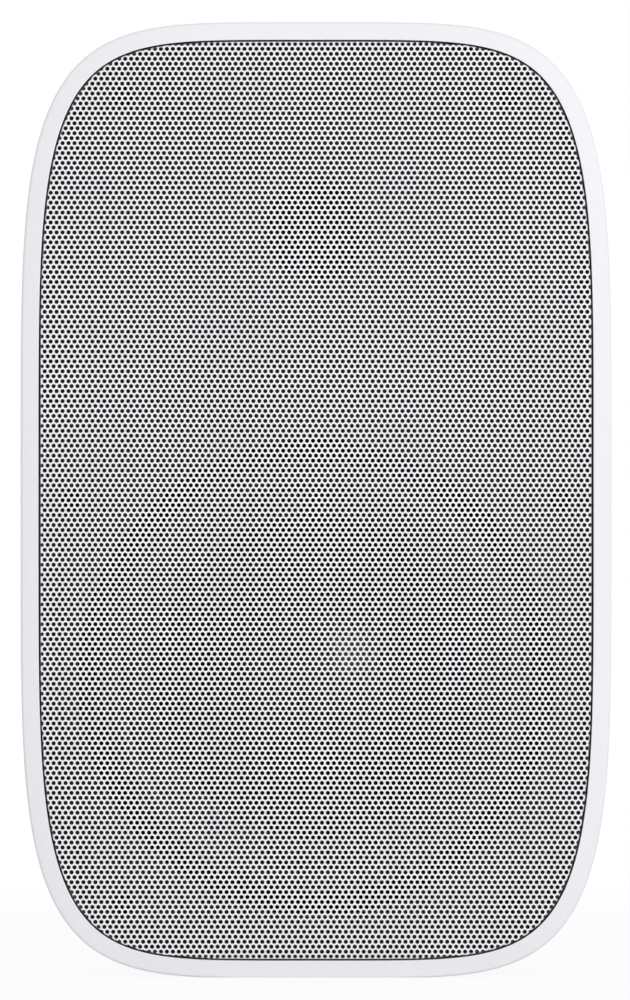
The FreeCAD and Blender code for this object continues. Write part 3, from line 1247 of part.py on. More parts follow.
def mains_inlet():
    """The moulded mains inlet: flange, body through the panel and bevelled cavity."""
    mouth = PANEL_OUTER + INLET_FLANGE_THICKNESS
    floor = mouth - INLET_CAVITY_DEPTH
    flange = (INLET_FLANGE_WIDTH, INLET_FLANGE_HEIGHT, INLET_CORNER, PANEL_OUTER, mouth)
    inlet = rounded_block(INLET_CENTRE, POWER_HEIGHT, *flange)
    inlet = inlet.fuse(block(INLET_CENTRE, POWER_HEIGHT, INLET_BODY_WIDTH, INLET_BODY_HEIGHT,
                             floor - INLET_FLOOR, PANEL_OUTER))
    width = INLET_BODY_WIDTH - 2 * INLET_WALL
    tall = INLET_BODY_HEIGHT - 2 * INLET_WALL
    inlet = inlet.cut(inlet_profile(width, tall, INLET_BEVEL, floor, mouth + OVERRUN))
    return inlet.cut(inlet_pin_blocks(FIT_GAP))


def rocker_pivot():
    """Depth of the rocker's pivot."""
    return PANEL_OUTER + ROCKER_PIVOT_LIFT


def switch_housing():
    """The power switch's housing with its bezel and the well for the rocker."""
    body_width = BEZEL_WIDTH - 2 * BEZEL_LIP
    body_tall = BEZEL_HEIGHT - 2 * BEZEL_LIP
    back = PANEL_OUTER + BEZEL_THICKNESS
    housing = rounded_block(SWITCH_CENTRE, POWER_HEIGHT, BEZEL_WIDTH, BEZEL_HEIGHT, EDGE_ROUND, PANEL_OUTER, back)
    front = PANEL_OUTER - SWITCH_BODY_LENGTH
    housing = housing.fuse(block(SWITCH_CENTRE, POWER_HEIGHT, body_width, body_tall, front, PANEL_OUTER))
    floor = rocker_pivot() - ROCKER_KEEL - ROCKER_FLOOR_GAP
    well = (ROCKER_WIDTH + 2 * ROCKER_GAP, 2 * ROCKER_RADIUS + 2 * ROCKER_GAP, floor, back + OVERRUN)
    pin_length = ROCKER_WIDTH + 2 * ROCKER_PIN_LENGTH + 2 * FIT_GAP
    pin = cross_rod(SWITCH_CENTRE, POWER_HEIGHT, rocker_pivot(), ROCKER_PIN_RADIUS + FIT_GAP, pin_length)
    return housing.cut([block(SWITCH_CENTRE, POWER_HEIGHT, *well), pin])


def switch_rocker():
    """The rocker, a barrel with a dished face, tilted with its upper end out."""
    middle = POWER_HEIGHT
    depth = rocker_pivot()
    rise = ROCKER_RADIUS * math.tan(math.radians(ROCKER_DEGREES))
    keel = depth - ROCKER_KEEL
    dish = depth + ROCKER_RISE
    corners = [(keel, middle - ROCKER_RADIUS), (keel, middle + ROCKER_RADIUS)]
    corners += [(dish + rise, middle + ROCKER_RADIUS), (dish, middle), (dish + rise, middle - ROCKER_RADIUS)]
    rocker = cross_rod(SWITCH_CENTRE, middle, depth, ROCKER_RADIUS, ROCKER_WIDTH)
    rocker = rocker.common(side_prism(SWITCH_CENTRE, ROCKER_WIDTH, corners))
    pin_length = ROCKER_WIDTH + 2 * ROCKER_PIN_LENGTH
    rocker = rocker.fuse(cross_rod(SWITCH_CENTRE, middle, depth, ROCKER_PIN_RADIUS, pin_length))
    rocker.rotate(place(SWITCH_CENTRE, depth, middle), ACROSS, -ROCKER_DEGREES)
    return rocker


def lead(points):
    """A wire along straight runs joined by arcs as large as the runs allow."""
    edges = []
    here = points[0]
    for before, corner, after in zip(points, points[1:], points[2:]):
        back = (before - corner).normalize()
        ahead = (after - corner).normalize()
        trim = LEAD_BEND * min(before.distanceToPoint(corner), after.distanceToPoint(corner))
        half_turn = (math.pi - back.getAngle(ahead)) / 2
        radius = trim / math.tan(half_turn)
        bisector = (back + ahead).normalize()
        middle = corner + bisector * (radius / math.cos(half_turn) - radius)
        start = corner + back * trim
        end = corner + ahead * trim
        edges.append(Part.makeLine(here, start))
        edges.append(Part.Arc(start, middle, end).toShape())
        here = end
    edges.append(Part.makeLine(here, points[-1]))
    route = Part.Wire(edges)
    direction = points[1] - points[0]
    circle = Part.Wire([Part.makeCircle(LEAD_RADIUS, points[0], direction)])
    return route.makePipeShell([circle], True, True)


def woofer_leads():
    """The two wires from the woofer's tags to the board."""
    height = tag_seat() + STRIP_THICKNESS + TAG_THICKNESS / 2
    start = SHELF_DEPTH - LUG_LENGTH / 2 + TAG_LENGTH
    leads = []
    for side in (-1, 1):
        x = side * TAG_SPACING / 2
        end = side * LEAD_SIDE
        stops = [(x, start), (x, start + LEAD_RUN), (end, BOARD_FRONT - LEAD_RUN), (end, BOARD_FRONT)]
        leads.append(lead([place(*stop, height) for stop in stops]))
    return leads


def tweeter_leads():
    """The two wires from the tweeter to the board."""
    end_height = PANEL_CENTRE + TWEETER_LEAD_ROW
    leads = []
    for side in (-1, 1):
        x = side * TWEETER_LEAD_SPACING / 2
        end = side * LEAD_SIDE
        stops = [(x, TWEETER_BACK, TWEETER_AXIS), (x, TWEETER_BACK + LEAD_RUN, TWEETER_AXIS)]
        stops += [(end, BOARD_FRONT - LEAD_RUN, end_height), (end, BOARD_FRONT, end_height)]
        leads.append(lead([place(*stop) for stop in stops]))
    return leads


def save(name, shape):
    """Write one piece, or a group of like pieces, to its own file."""
    solids = shape if isinstance(shape, list) else [shape]
    solids = [solid for group in solids for solid in group.Solids]
    target = solids[0] if len(solids) == 1 else Part.Compound(solids)
    target.exportStep(os.path.join("parts", name + ".step"))


SINGLE_PIECES = [
    cabinet_shell, grille, front_baffle, baffle_gasket, baffle_screws, bracket_inserts, damping_pad,
    woofer_basket, woofer_trim_ring, woofer_screws, woofer_surround, woofer_cone, woofer_dust_cap, woofer_spider,
    woofer_former, woofer_winding, woofer_top_plate, woofer_magnet, woofer_yoke, woofer_tag_strip, woofer_tags,
    woofer_leads, tweeter_faceplate, tweeter_dome, tweeter_coil, tweeter_top_plate, tweeter_magnet, tweeter_yoke,
    tweeter_screws, tweeter_leads, amp_panel, amp_gasket, amp_screws, amp_board, board_standoffs, heat_sink,
    mains_transformer, transformer_clamp, capacitors, pot_nuts, terminal_housing, mains_inlet, switch_housing,
    switch_rocker,
]


def main():
    """Build every piece and write it."""
    os.makedirs("parts", exist_ok=True)
    for piece in SINGLE_PIECES:
        save(piece.__name__, piece())
    save("inlet_pins", inlet_pin_blocks(0.0))
    for name, x in CONTROLS.items():
        save(name + "_pot", pot(x))
        save(name + "_shaft", pot_shaft(x))
        save(name + "_knob", knob(x, VOLUME_KNOB_RADIUS if name == "volume" else KNOB_RADIUS))
    for name, x in SOCKETS.items():
        save(name + "_input_socket", input_socket(x))
        save(name + "_input_ring", input_ring(x))
    for name, x in LEVERS.items():
        save(name + "_terminal_lever", terminal_lever(x))


main()
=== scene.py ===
"""Looks of an active two-way speaker: its finishes, its fine geometry, the studio and the camera.

Lengths are in metres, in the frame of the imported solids: +Z is up and the grille faces -Y. A depth is
measured back from the front plane of the cabinet.
"""
import json
import logging
import math
from dataclasses import dataclass
from enum import Enum
from typing import Callable, Mapping, Optional, Sequence, Union

import bmesh
import bpy
from mathutils import Matrix, Vector
from mathutils.bvhtree import BVHTree


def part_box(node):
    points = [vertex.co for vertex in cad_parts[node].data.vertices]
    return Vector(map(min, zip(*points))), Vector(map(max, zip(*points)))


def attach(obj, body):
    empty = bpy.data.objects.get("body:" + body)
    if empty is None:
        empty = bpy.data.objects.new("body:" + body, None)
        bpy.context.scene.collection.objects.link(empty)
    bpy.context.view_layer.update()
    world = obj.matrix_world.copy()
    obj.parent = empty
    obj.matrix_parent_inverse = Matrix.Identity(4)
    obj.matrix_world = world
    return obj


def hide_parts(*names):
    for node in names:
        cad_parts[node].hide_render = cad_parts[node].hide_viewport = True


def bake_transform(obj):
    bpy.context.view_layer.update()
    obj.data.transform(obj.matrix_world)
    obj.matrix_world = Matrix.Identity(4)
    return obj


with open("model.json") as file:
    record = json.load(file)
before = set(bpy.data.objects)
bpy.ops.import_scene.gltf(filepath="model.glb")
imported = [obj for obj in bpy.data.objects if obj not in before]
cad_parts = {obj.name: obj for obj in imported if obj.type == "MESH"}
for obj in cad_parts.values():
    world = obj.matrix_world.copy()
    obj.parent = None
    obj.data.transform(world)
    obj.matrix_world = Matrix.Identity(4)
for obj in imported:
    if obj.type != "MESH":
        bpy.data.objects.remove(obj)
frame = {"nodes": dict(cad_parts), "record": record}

LOG = logging.getLogger("speaker")
Pair = tuple[float, float]
Colour = tuple[float, float, float]
MM = 0.001
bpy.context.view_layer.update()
SLOT_OF = {part["node"]: part["material_slot"] for part in frame["record"]["subparts"]}
CABINET_BODY = "cabinet"
WOOFER_BODY = "woofer_moving"
TWEETER_BODY = "tweeter_moving"
ROCKER_BODY = "power_rocker"
QUARTER_TURN = math.pi / 2
SHARP_EDGE = 35.0
SAME_PLACE = 0.0001 * MM
DEEP_BLACK = (0.0015, 0.0015, 0.0016)
WHITE = (1, 1, 1, 1)


def overload(operation: str, reflected: bool = False) -> Callable[["Signal", object], "Signal"]:
    """An operator between a signal and a number or another signal.

    Args:
        operation: The operation of the Math node that it adds.
        reflected: Whether the other value comes first.

    Returns:
        The operator's method.
    """
    def method(signal: "Signal", other: object) -> "Signal":
        """Adds the node and gives its result."""
        values = (other, signal) if reflected else (signal, other)
        return signal.math(operation, *values)
    return method


class Signal:
    """One output socket of a node tree, whose arithmetic adds Math nodes."""

    def __init__(self, bench: "NodeBench", socket: bpy.types.NodeSocket) -> None:
        """Keeps the socket and the bench that made it."""
        self.bench = bench
        self.socket = socket

    def math(self, operation: str, first: object, second: object = None) -> "Signal":
        """Adds one Math node.

        Args:
            operation: The Math node's operation.
            first: Its first value or signal.
            second: Its second value or signal, if it takes one.

        Returns:
            The node's result.
        """
        inputs = {0: first}
        if second is not None:
            inputs[1] = second
        return self.bench.node("ShaderNodeMath", {"operation": operation}, inputs)["Value"]

    __add__ = overload("ADD")
    __radd__ = overload("ADD", reflected=True)
    __sub__ = overload("SUBTRACT")
    __rsub__ = overload("SUBTRACT", reflected=True)
    __mul__ = overload("MULTIPLY")
    __rmul__ = overload("MULTIPLY", reflected=True)
    __truediv__ = overload("DIVIDE")
    __mod__ = overload("FLOORED_MODULO")
    __lt__ = overload("LESS_THAN")
    larger = overload("MAXIMUM")
    smaller = overload("MINIMUM")

    def floor(self) -> "Signal":
        """Largest whole number that isn't above this."""
        return self.math("FLOOR", self)

    def sine(self) -> "Signal":
        """Sine of this angle."""
        return self.math("SINE", self)

    def cosine(self) -> "Signal":
        """Cosine of this angle."""
        return self.math("COSINE", self)


class MadeNode:
    """A node whose outputs are read by name."""

    def __init__(self, bench: "NodeBench", node: bpy.types.Node) -> None:
        """Keeps the node and its bench."""
        self.bench = bench
        self.node = node

    def __getitem__(self, key: Union[str, int]) -> Signal:
        """The output of that name or place."""
        return Signal(self.bench, self.node.outputs[key])


class NodeBench:
    """Adds nodes to one tree and wires them."""

    def __init__(self, tree: bpy.types.NodeTree) -> None:
        """Keeps the tree."""
        self.tree = tree

    def node(
        self,
        kind: str,
        settings: Optional[Mapping[str, object]] = None,
        inputs: Optional[Mapping[Union[str, int], object]] = None,
    ) -> MadeNode:
        """Adds one node of any type.

        Args:
            kind: The node's type.
            settings: Its properties, set before its sockets.
            inputs: A value or a signal for each socket, by name or place.

        Returns:
            The node.
        """
        made = self.tree.nodes.new(kind)
        for name, value in (settings or {}).items():
            setattr(made, name, value)
        for key, value in (inputs or {}).items():
            if isinstance(value, Signal):
                self.tree.links.new(value.socket, made.inputs[key])
            else:
                made.inputs[key].default_value = value
        return MadeNode(self, made)

    def vector(self, operation: str, *values: object) -> MadeNode:
        """Adds one Vector Math node."""
        return self.node("ShaderNodeVectorMath", {"operation": operation}, dict(enumerate(values)))

    def mix(self, share: Signal, first: object, second: object) -> Signal:
        """Adds one Mix node for two colours."""
        return self.node("ShaderNodeMix", {"data_type": "RGBA"}, {0: share, 6: first, 7: second})[2]

    def ramp(self, value: Signal, start: float, end: float, low: float = 0.0, high: float = 1.0) -> Signal:
        """Adds one smooth ramp from a low to a high result."""
        inputs = {"Value": value, "From Min": start, "From Max": end, "To Min": low, "To Max": high}
        return self.node("ShaderNodeMapRange", {"interpolation_type": "SMOOTHSTEP"}, inputs)["Result"]


def empty_bench(owner: Union[bpy.types.Material, bpy.types.World]) -> NodeBench:
    """A bench for the emptied node tree of a material or a world."""
    owner.use_nodes = True
    owner.node_tree.nodes.clear()
    return NodeBench(owner.node_tree)


class Grain(Enum):
    """How the fine relief of a finish lies."""

    MOULDED = "even fine noise"
    BRUSHED = "noise drawn out along X"
    TURNED = "rings about the front-to-back axis"
    WOVEN = "threads that cross"
    FIBRES = "tangled noise"
    CELLS = "open bubbles"


@dataclass(frozen=True)
class Finish:
    """A finish whose colour, gloss and relief vary over the piece."""

    colour: Colour
    roughness: float
    metallic: float = 0.0
    specular: float = 0.5
    coat: float = 0.0
    sheen: float = 0.0
    mottle: float = 0.06
    mottle_size: float = 14 * MM
    mottle_octaves: float = 4
    gloss_spread: float = 0.05
    grain: Grain = Grain.MOULDED
    grain_size: float = 0.5 * MM
    relief: float = 0.01 * MM

    def _noise(self, bench: NodeBench, place: Signal, size: float, detail: float) -> Signal:
        """Noise of about the given size.

        Args:
            bench: The material's bench.
            place: Where the noise is read.
            size: Size of its features.
            detail: Octaves of finer noise.

        Returns:
            A value around one half.
        """
        inputs = {"Vector": place, "Scale": 1 / size, "Detail": detail}
        return bench.node("ShaderNodeTexNoise", None, inputs)["Fac"]

    def _wave(self, bench: NodeBench, place: Signal, settings: Mapping[str, str]) -> Signal:
        """Even waves whose length is the grain's size.

        Args:
            bench: The material's bench.
            place: Where the waves are read.
            settings: The wave's type and direction.

        Returns:
            A value from 0 to 1.
        """
        radians_per_unit = 20
        scale = 2 * math.pi / (radians_per_unit * self.grain_size)
        return bench.node("ShaderNodeTexWave", settings, {"Vector": place, "Scale": scale})["Fac"]

    def _height(self, bench: NodeBench, place: Signal) -> Signal:
        """The relief's height.

        Args:
            bench: The material's bench.
            place: Object coordinates.

        Returns:
            A value from 0 to 1.
        """
        octaves = {Grain.BRUSHED: 3, Grain.FIBRES: 8}.get(self.grain, 2)
        if self.grain is Grain.BRUSHED:
            along_x = (0.04, 1, 1)
            drawn = bench.node("ShaderNodeMapping", None, {"Vector": place, "Scale": along_x})["Vector"]
            return self._noise(bench, drawn, self.grain_size, octaves)
        if self.grain is Grain.TURNED:
            return self._wave(bench, place, {"wave_type": "RINGS", "rings_direction": "Y"})
        if self.grain is Grain.WOVEN:
            across = self._wave(bench, place, {"bands_direction": "X"})
            along = self._wave(bench, place, {"bands_direction": "Z"})
            return (across + along) / 2
        if self.grain is Grain.CELLS:
            inputs = {"Vector": place, "Scale": 1 / self.grain_size}
            return bench.node("ShaderNodeTexVoronoi", None, inputs)["Distance"]
        return self._noise(bench, place, self.grain_size, octaves)

    def _tint(self, bench: NodeBench, place: Signal, cloud: Signal) -> Signal:
        """The mottled colour.

        Args:
            bench: The material's bench.
            place: Object coordinates.
            cloud: The noise that the mottling follows.

        Returns:
            The colour.
        """
        dull = tuple(part * (1 - self.mottle) for part in self.colour) + (1,)
        bright = tuple(min(1, part * (1 + self.mottle)) for part in self.colour) + (1,)
        return bench.mix(cloud, dull, bright)

    def material(self, name: str) -> bpy.types.Material:
        """Builds the finish as a material.

        Args:
            name: The material's name.

        Returns:
            The material.
        """
        made = bpy.data.materials.new(name)
        bench = empty_bench(made)
        place = bench.node("ShaderNodeTexCoord")["Object"]
        cloud = self._noise(bench, place, self.mottle_size, self.mottle_octaves)
        height = self._height(bench, place)
        gloss = self.roughness + (cloud + height - 1) * self.gloss_spread
        bump = bench.node("ShaderNodeBump", None, {"Distance": self.relief, "Height": height})["Normal"]
        shader = bench.node("ShaderNodeBsdfPrincipled", None, {
            "Base Color": self._tint(bench, place, cloud),
            "Roughness": gloss,
            "Normal": bump,
            "Metallic": self.metallic,
            "Specular IOR Level": self.specular,
            "Coat Weight": self.coat,
            "Sheen Weight": self.sheen,
        })["BSDF"]
        bench.node("ShaderNodeOutputMaterial", None, {"Surface": shader})
        return made


@dataclass(frozen=True)
class HoleShadeFinish(Finish):
    """A white finish that turns dark with depth behind its front: painted shade in the holes and the folded
    edge.
    """

    front_y: float = 0.0
    # Painted shade: its colour, and the depths over which the white fades into it.
    hole_shade: Colour = (0.02, 0.02, 0.022)
    shade_start_depth: float = 0.06 * MM
    full_shade_depth: float = 0.2 * MM

    def _tint(self, bench: NodeBench, place: Signal, cloud: Signal) -> Signal:
        """The mottled paint in front and the painted shade colour deeper in the holes and the fold.

        Args:
            bench: The material's bench.
            place: Object coordinates.
            cloud: The noise that the mottling follows.

        Returns:
            The colour.
        """
        paint = super()._tint(bench, place, cloud)
        # Painted shade: the colour darkens with depth behind the front, in the hole walls and the fold.
        depth = bench.node("ShaderNodeSeparateXYZ", None, {0: place})["Y"] - self.front_y
        return bench.mix(bench.ramp(depth, self.shade_start_depth, self.full_shade_depth), paint, self.hole_shade + (1,))


@dataclass(frozen=True)
class RecessShadeFinish(Finish):
    """A finish that turns darker towards a front-to-back axis: painted shade of a round recess."""

    axis_z: float = 0.0
    # Painted shade: its colour, and the radii over which it fades out.
    recess_shade: Colour = DEEP_BLACK
    full_shade_radius: float = 15.5 * MM
    shade_end_radius: float = 20.0 * MM

    def _tint(self, bench: NodeBench, place: Signal, cloud: Signal) -> Signal:
        """The painted shade colour near the axis and the mottled colour away from it.

        Args:
            bench: The material's bench.
            place: Object coordinates.
            cloud: The noise that the mottling follows.

        Returns:
            The colour.
        """
        across = (1, 0, 1)
        # Painted shade: the colour darkens towards the axis, where the recess would be in shade.
        spoke = bench.vector("MULTIPLY_ADD", place, across, (0, 0, -self.axis_z))["Vector"]
        radius = bench.vector("LENGTH", spoke)["Value"]
        share = bench.ramp(radius, self.full_shade_radius, self.shade_end_radius)
        return bench.mix(share, self.recess_shade + (1,), super()._tint(bench, place, cloud))


def middle_of(node: str) -> Vector:
    """Middle of a solid's box."""
    low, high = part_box(node)
    return (low + high) / 2


def half_width_of(node: str) -> float:
    """Half the width of a solid's box."""
    low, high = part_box(node)
    return (high.x - low.x) / 2


RED_PLASTIC = Finish((0.55, 0.02, 0.025), 0.38, grain_size=0.4 * MM)
FINISHES: Mapping[str, Finish] = {
    "cabinet_white": Finish(
        (0.845, 0.84, 0.88), 0.58, specular=0.3, mottle=0.012, grain_size=0.35 * MM, relief=0.006 * MM),
    # The grille gets painted shade in its hole walls and its folded edge.
    "grille_white": HoleShadeFinish(
        (0.845, 0.843, 0.856), 0.58, specular=0.3, mottle=0.015, grain_size=0.25 * MM, relief=0.006 * MM,
        front_y=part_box("grille")[0].y),
    # The baffle gets painted shade round the tweeter's opening.
    "baffle_black": RecessShadeFinish(
        (0.02, 0.02, 0.021), 0.65, specular=0.1, grain_size=0.4 * MM, relief=0.03 * MM,
        axis_z=middle_of("tweeter_coil").z),
    "ring_black": Finish(DEEP_BLACK, 0.6, specular=0.02, grain_size=0.4 * MM, relief=0.02 * MM),
    "gasket_foam": Finish((0.03, 0.03, 0.03), 0.9, grain=Grain.CELLS, grain_size=0.6 * MM, relief=0.1 * MM),
    "zinc_screw": Finish(DEEP_BLACK, 0.45, metallic=0.2, specular=0.02, grain_size=0.25 * MM),
    "black_screw": Finish((0.05, 0.05, 0.053), 0.38, metallic=0.6, grain=Grain.TURNED, grain_size=0.2 * MM),
    "brass": Finish((0.72, 0.5, 0.2), 0.3, metallic=1, grain=Grain.BRUSHED, grain_size=0.2 * MM),
    "wadding": Finish(
        (0.75, 0.75, 0.73), 0.95, sheen=0.4, grain=Grain.FIBRES, grain_size=2 * MM, relief=1 * MM),
    "basket_black": Finish(
        (0.003, 0.003, 0.0032), 0.55, specular=0.04, grain_size=0.4 * MM, relief=0.02 * MM),
    "surround_rubber": Finish(
        (0.006, 0.006, 0.0063), 0.28, specular=0.28, grain_size=0.3 * MM, relief=0.001 * MM),
    "cone_black": Finish(
        (0.0012, 0.0012, 0.0013), 0.9, specular=0.01,
        grain=Grain.FIBRES, grain_size=1.2 * MM, relief=0.05 * MM),
    "cap_black": Finish(
        (0.0008, 0.0008, 0.00085), 0.26, specular=0.2, mottle=0.2, grain_size=0.4 * MM, relief=0.001 * MM),
    "spider_cloth": Finish((0.62, 0.46, 0.2), 0.85, grain=Grain.WOVEN, grain_size=0.7 * MM, relief=0.1 * MM),
    "former": Finish((0.5, 0.36, 0.2), 0.7, grain=Grain.FIBRES, grain_size=0.8 * MM),
    "copper": Finish(
        (0.72, 0.36, 0.18), 0.35, metallic=1, grain=Grain.TURNED, grain_size=0.3 * MM, relief=0.08 * MM),
    "plated_steel": Finish((0.6, 0.6, 0.6), 0.38, metallic=1, grain=Grain.BRUSHED, grain_size=0.3 * MM),
    "ferrite": Finish((0.06, 0.06, 0.063), 0.7, mottle=0.2, grain_size=0.5 * MM, relief=0.02 * MM),
    "phenolic": Finish((0.3, 0.18, 0.09), 0.6, grain=Grain.FIBRES, grain_size=0.6 * MM),
    "lead_red": Finish((0.45, 0.03, 0.03), 0.45, grain_size=0.5 * MM),
    "dome_cloth": Finish(
        DEEP_BLACK, 0.6, specular=0.02, grain=Grain.WOVEN, grain_size=0.35 * MM, relief=0.02 * MM),
    "panel_black": Finish((0.022, 0.022, 0.024), 0.55, mottle=0.12, grain_size=0.35 * MM, relief=0.05 * MM),
    "board_green": Finish((0.03, 0.2, 0.08), 0.4, mottle=0.2, grain_size=1.5 * MM),
    "aluminium": Finish((0.76, 0.77, 0.78), 0.36, metallic=1, grain=Grain.BRUSHED, grain_size=0.2 * MM),
    "tape_yellow": Finish((0.72, 0.56, 0.1), 0.4, coat=0.3, grain=Grain.TURNED, grain_size=3 * MM),
    "capacitor_sleeve": Finish((0.02, 0.04, 0.09), 0.3, coat=0.4, grain_size=0.8 * MM),
    "socket_black": Finish((0.014, 0.014, 0.015), 0.34, grain_size=0.5 * MM, relief=0.008 * MM),
    "nickel": Finish(
        (0.78, 0.76, 0.72), 0.2, metallic=1, grain=Grain.TURNED, grain_size=0.25 * MM, relief=0.004 * MM),
    "pot_case": Finish((0.05, 0.05, 0.055), 0.5, grain_size=0.4 * MM),
    "knob_black": Finish((0.018, 0.018, 0.019), 0.5, grain_size=0.3 * MM, relief=0.02 * MM),
    "ring_white": Finish((0.82, 0.82, 0.82), 0.4, mottle=0.03, grain_size=0.4 * MM),
    "ring_red": RED_PLASTIC,
    "lever_red": RED_PLASTIC,
    "lever_black": Finish((0.016, 0.016, 0.017), 0.38, grain_size=0.4 * MM),
}
NODE_FINISHES: Mapping[str, str] = {"woofer_trim_ring": "ring_black", "tweeter_faceplate": "ring_black"}


class Palette:
    """Builds each finish once and hands it out by the record's slot."""

    def __init__(self, finishes: Mapping[str, Finish]) -> None:
        """Keeps the finishes, none of them built yet."""
        self.finishes = finishes
        self.made: dict[str, bpy.types.Material] = {}

    def material(self, slot: str) -> bpy.types.Material:
        """The material of a slot."""
        if slot not in self.made:
            self.made[slot] = self.finishes[slot].material(slot)
        return self.made[slot]

    def dress_solids(self) -> None:
        """Gives every solid its own finish or the finish of its slot."""
        for node, solid in frame["nodes"].items():
            solid.data.materials.clear()
            solid.data.materials.append(self.material(NODE_FINISHES.get(node, SLOT_OF[node])))


PALETTE = Palette(FINISHES)


def loft(
    name: str,
    rings: Sequence[Sequence[Vector]],
    looped: bool = False,
    wrapped: bool = True,
    capped: bool = False,
    sharp: float = SHARP_EDGE,
) -> bpy.types.Mesh:
    """A smooth-shaded mesh through rings of points.

    Args:
        name: The mesh's name.
        rings: Rows with equally many points.
        looped: Whether the last row joins the first.
        wrapped: Whether each row is closed.
        capped: Whether the ends are filled: the rows' ends where they are open, else the first and last row.
        sharp: Degrees between faces past which an edge is sharp.

    Returns:
        The mesh, with its faces outwards.
    """
    work = bmesh.new()
    rows = [[work.verts.new(point) for point in ring] for ring in rings]
    count = len(rows[0])
    following = rows[1:] + (rows[:1] if looped else [])
    for near, far in zip(rows, following):
        for here in range(count if wrapped else count - 1):
            there = (here + 1) % count
            work.faces.new((near[here], near[there], far[there], far[here]))
    if capped and wrapped:
        work.faces.new(rows[0])
        work.faces.new(rows[-1])
    elif capped:
        work.faces.new([row[0] for row in rows])
        work.faces.new([row[-1] for row in rows])
    bmesh.ops.remove_doubles(work, verts=work.verts, dist=SAME_PLACE)
    bmesh.ops.recalc_face_normals(work, faces=work.faces)
    mesh = bpy.data.meshes.new(name)
    work.to_mesh(mesh)
    work.free()
    return smooth(mesh, sharp)


def smooth(mesh: bpy.types.Mesh, sharp: float) -> bpy.types.Mesh:
    """Shades a mesh smooth, apart from its sharp edges.

    Args:
        mesh: The mesh.
        sharp: Degrees between faces past which an edge is sharp.

    Returns:
        The same mesh.
    """
    mesh.shade_smooth()
    mesh.set_sharp_from_angle(angle=math.radians(sharp))
    return mesh


def turned(
    name: str,
    profile: Sequence[Pair],
    axis_z: float,
    segments: int = 48,
    looped: bool = False,
    arc: Optional[Pair] = None,
    sharp: float = SHARP_EDGE,
) -> bpy.types.Mesh:
    """A shape turned about a front-to-back axis.

    Args:
        name: The mesh's name.
        profile: Radii and places front to back.
        axis_z: Height of the axis.
        segments: How many steps the turn has.
        looped: Whether the profile's end joins its start.
        arc: First and last angle of a part turn, whose ends are filled.
        sharp: Degrees between faces past which an edge is sharp.

    Returns:
        The mesh.
    """
    first, last = arc or (0.0, 2 * math.pi)
    count = segments + 1 if arc else segments
    turns = [first + (last - first) * step / segments for step in range(count)]
    spokes = [Vector((math.sin(turn), 0.0, math.cos(turn))) for turn in turns]
    rings = [[Vector((0.0, y, axis_z)) + radius * spoke for spoke in spokes] for radius, y in profile]
    return loft(name, rings, looped, wrapped=arc is None, capped=arc is not None, sharp=sharp)


def arc_points(centre: Pair, radius: float, first: float, last: float, steps: int) -> list[Pair]:
    """Points of an arc in a profile.

    Args:
        centre: The arc's centre.
        radius: Its radius.
        first: Angle of the first point, where 0 points along the first axis.
        last: Angle of the last point.
        steps: How many steps lie between them.

    Returns:
        The points in order.
    """
    turns = [first + (last - first) * step / steps for step in range(steps + 1)]
    return [(centre[0] + radius * math.cos(turn), centre[1] + radius * math.sin(turn)) for turn in turns]


def thickened(front: Sequence[Pair], skin: float) -> list[Pair]:
    """A closed profile from a line and the same line moved back."""
    return list(front) + [(radius, y + skin) for radius, y in reversed(front)]


def sphere_of(radius: float, rise: float) -> Pair:
    """Radius of the sphere that a dome is cut from, and half the angle that the dome spans."""
    sphere = (radius ** 2 + rise ** 2) / (2 * rise)
    return sphere, math.asin(radius / sphere)


def linked(name: str, data: bpy.types.ID) -> bpy.types.Object:
    """A new object in the scene for a mesh, a curve, a lamp or a camera."""
    made = bpy.data.objects.new(name, data)
    bpy.context.scene.collection.objects.link(made)
    return made


def plain_mesh(source: bpy.types.Object, name: str) -> bpy.types.Mesh:
    """The mesh that an object's modifiers give.

    Args:
        source: The object.
        name: The new mesh's name.

    Returns:
        A mesh without modifiers.
    """
    bpy.context.view_layer.update()
    graph = bpy.context.evaluated_depsgraph_get()
    mesh = bpy.data.meshes.new_from_object(source.evaluated_get(graph), depsgraph=graph)
    mesh.name = name
    return mesh


def discard(*objects: bpy.types.Object) -> None:
    """Removes helper objects from the scene."""
    for helper in objects:
        bpy.data.objects.remove(helper)


def add_piece(
    name: str,
    mesh: bpy.types.Mesh,
    slot: str,
    body: Optional[str] = CABINET_BODY,
    stands_for: Sequence[str] = (),
) -> bpy.types.Object:
    """Puts a finished mesh in the scene as a piece of the part.

    Args:
        name: The piece's name.
        mesh: Its mesh, in place.
        slot: The record's slot that it takes its finish from.
        body: The body that it rides on, or none.
        stands_for: Solids that it is shown in place of.

    Returns:
        The piece.
    """
    mesh.materials.clear()
    mesh.materials.append(PALETTE.material(slot))
    piece = linked(name, mesh)
    if stands_for:
        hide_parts(*stands_for)
    if body:
        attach(piece, body)
    LOG.info("%s: %d faces on %s", name, len(mesh.polygons), body or "two bodies")
    return piece


def carved(mesh: bpy.types.Mesh, cutter: bpy.types.Mesh) -> bpy.types.Mesh:
    """A mesh with a cutter taken out of it.

    Args:
        mesh: The mesh that is cut.
        cutter: The shape to remove.

    Returns:
        The new mesh.
    """
    target = linked("carved", mesh)
    tool = linked("cutter", cutter)
    change = target.modifiers.new("carve", "BOOLEAN")
    change.object = tool
    change.operation = "DIFFERENCE"
    change.solver = "EXACT"
    result = plain_mesh(target, mesh.name)
    discard(target, tool)
    return result


def joined(name: str, meshes: Sequence[bpy.types.Mesh]) -> bpy.types.Mesh:
    """Several meshes as one.

    Args:
        name: The new mesh's name.
        meshes: The meshes to join.

    Returns:
        The mesh.
    """
    work = bmesh.new()
    for mesh in meshes:
        work.from_mesh(mesh)
    whole = bpy.data.meshes.new(name)
    work.to_mesh(whole)
    work.free()
    return whole


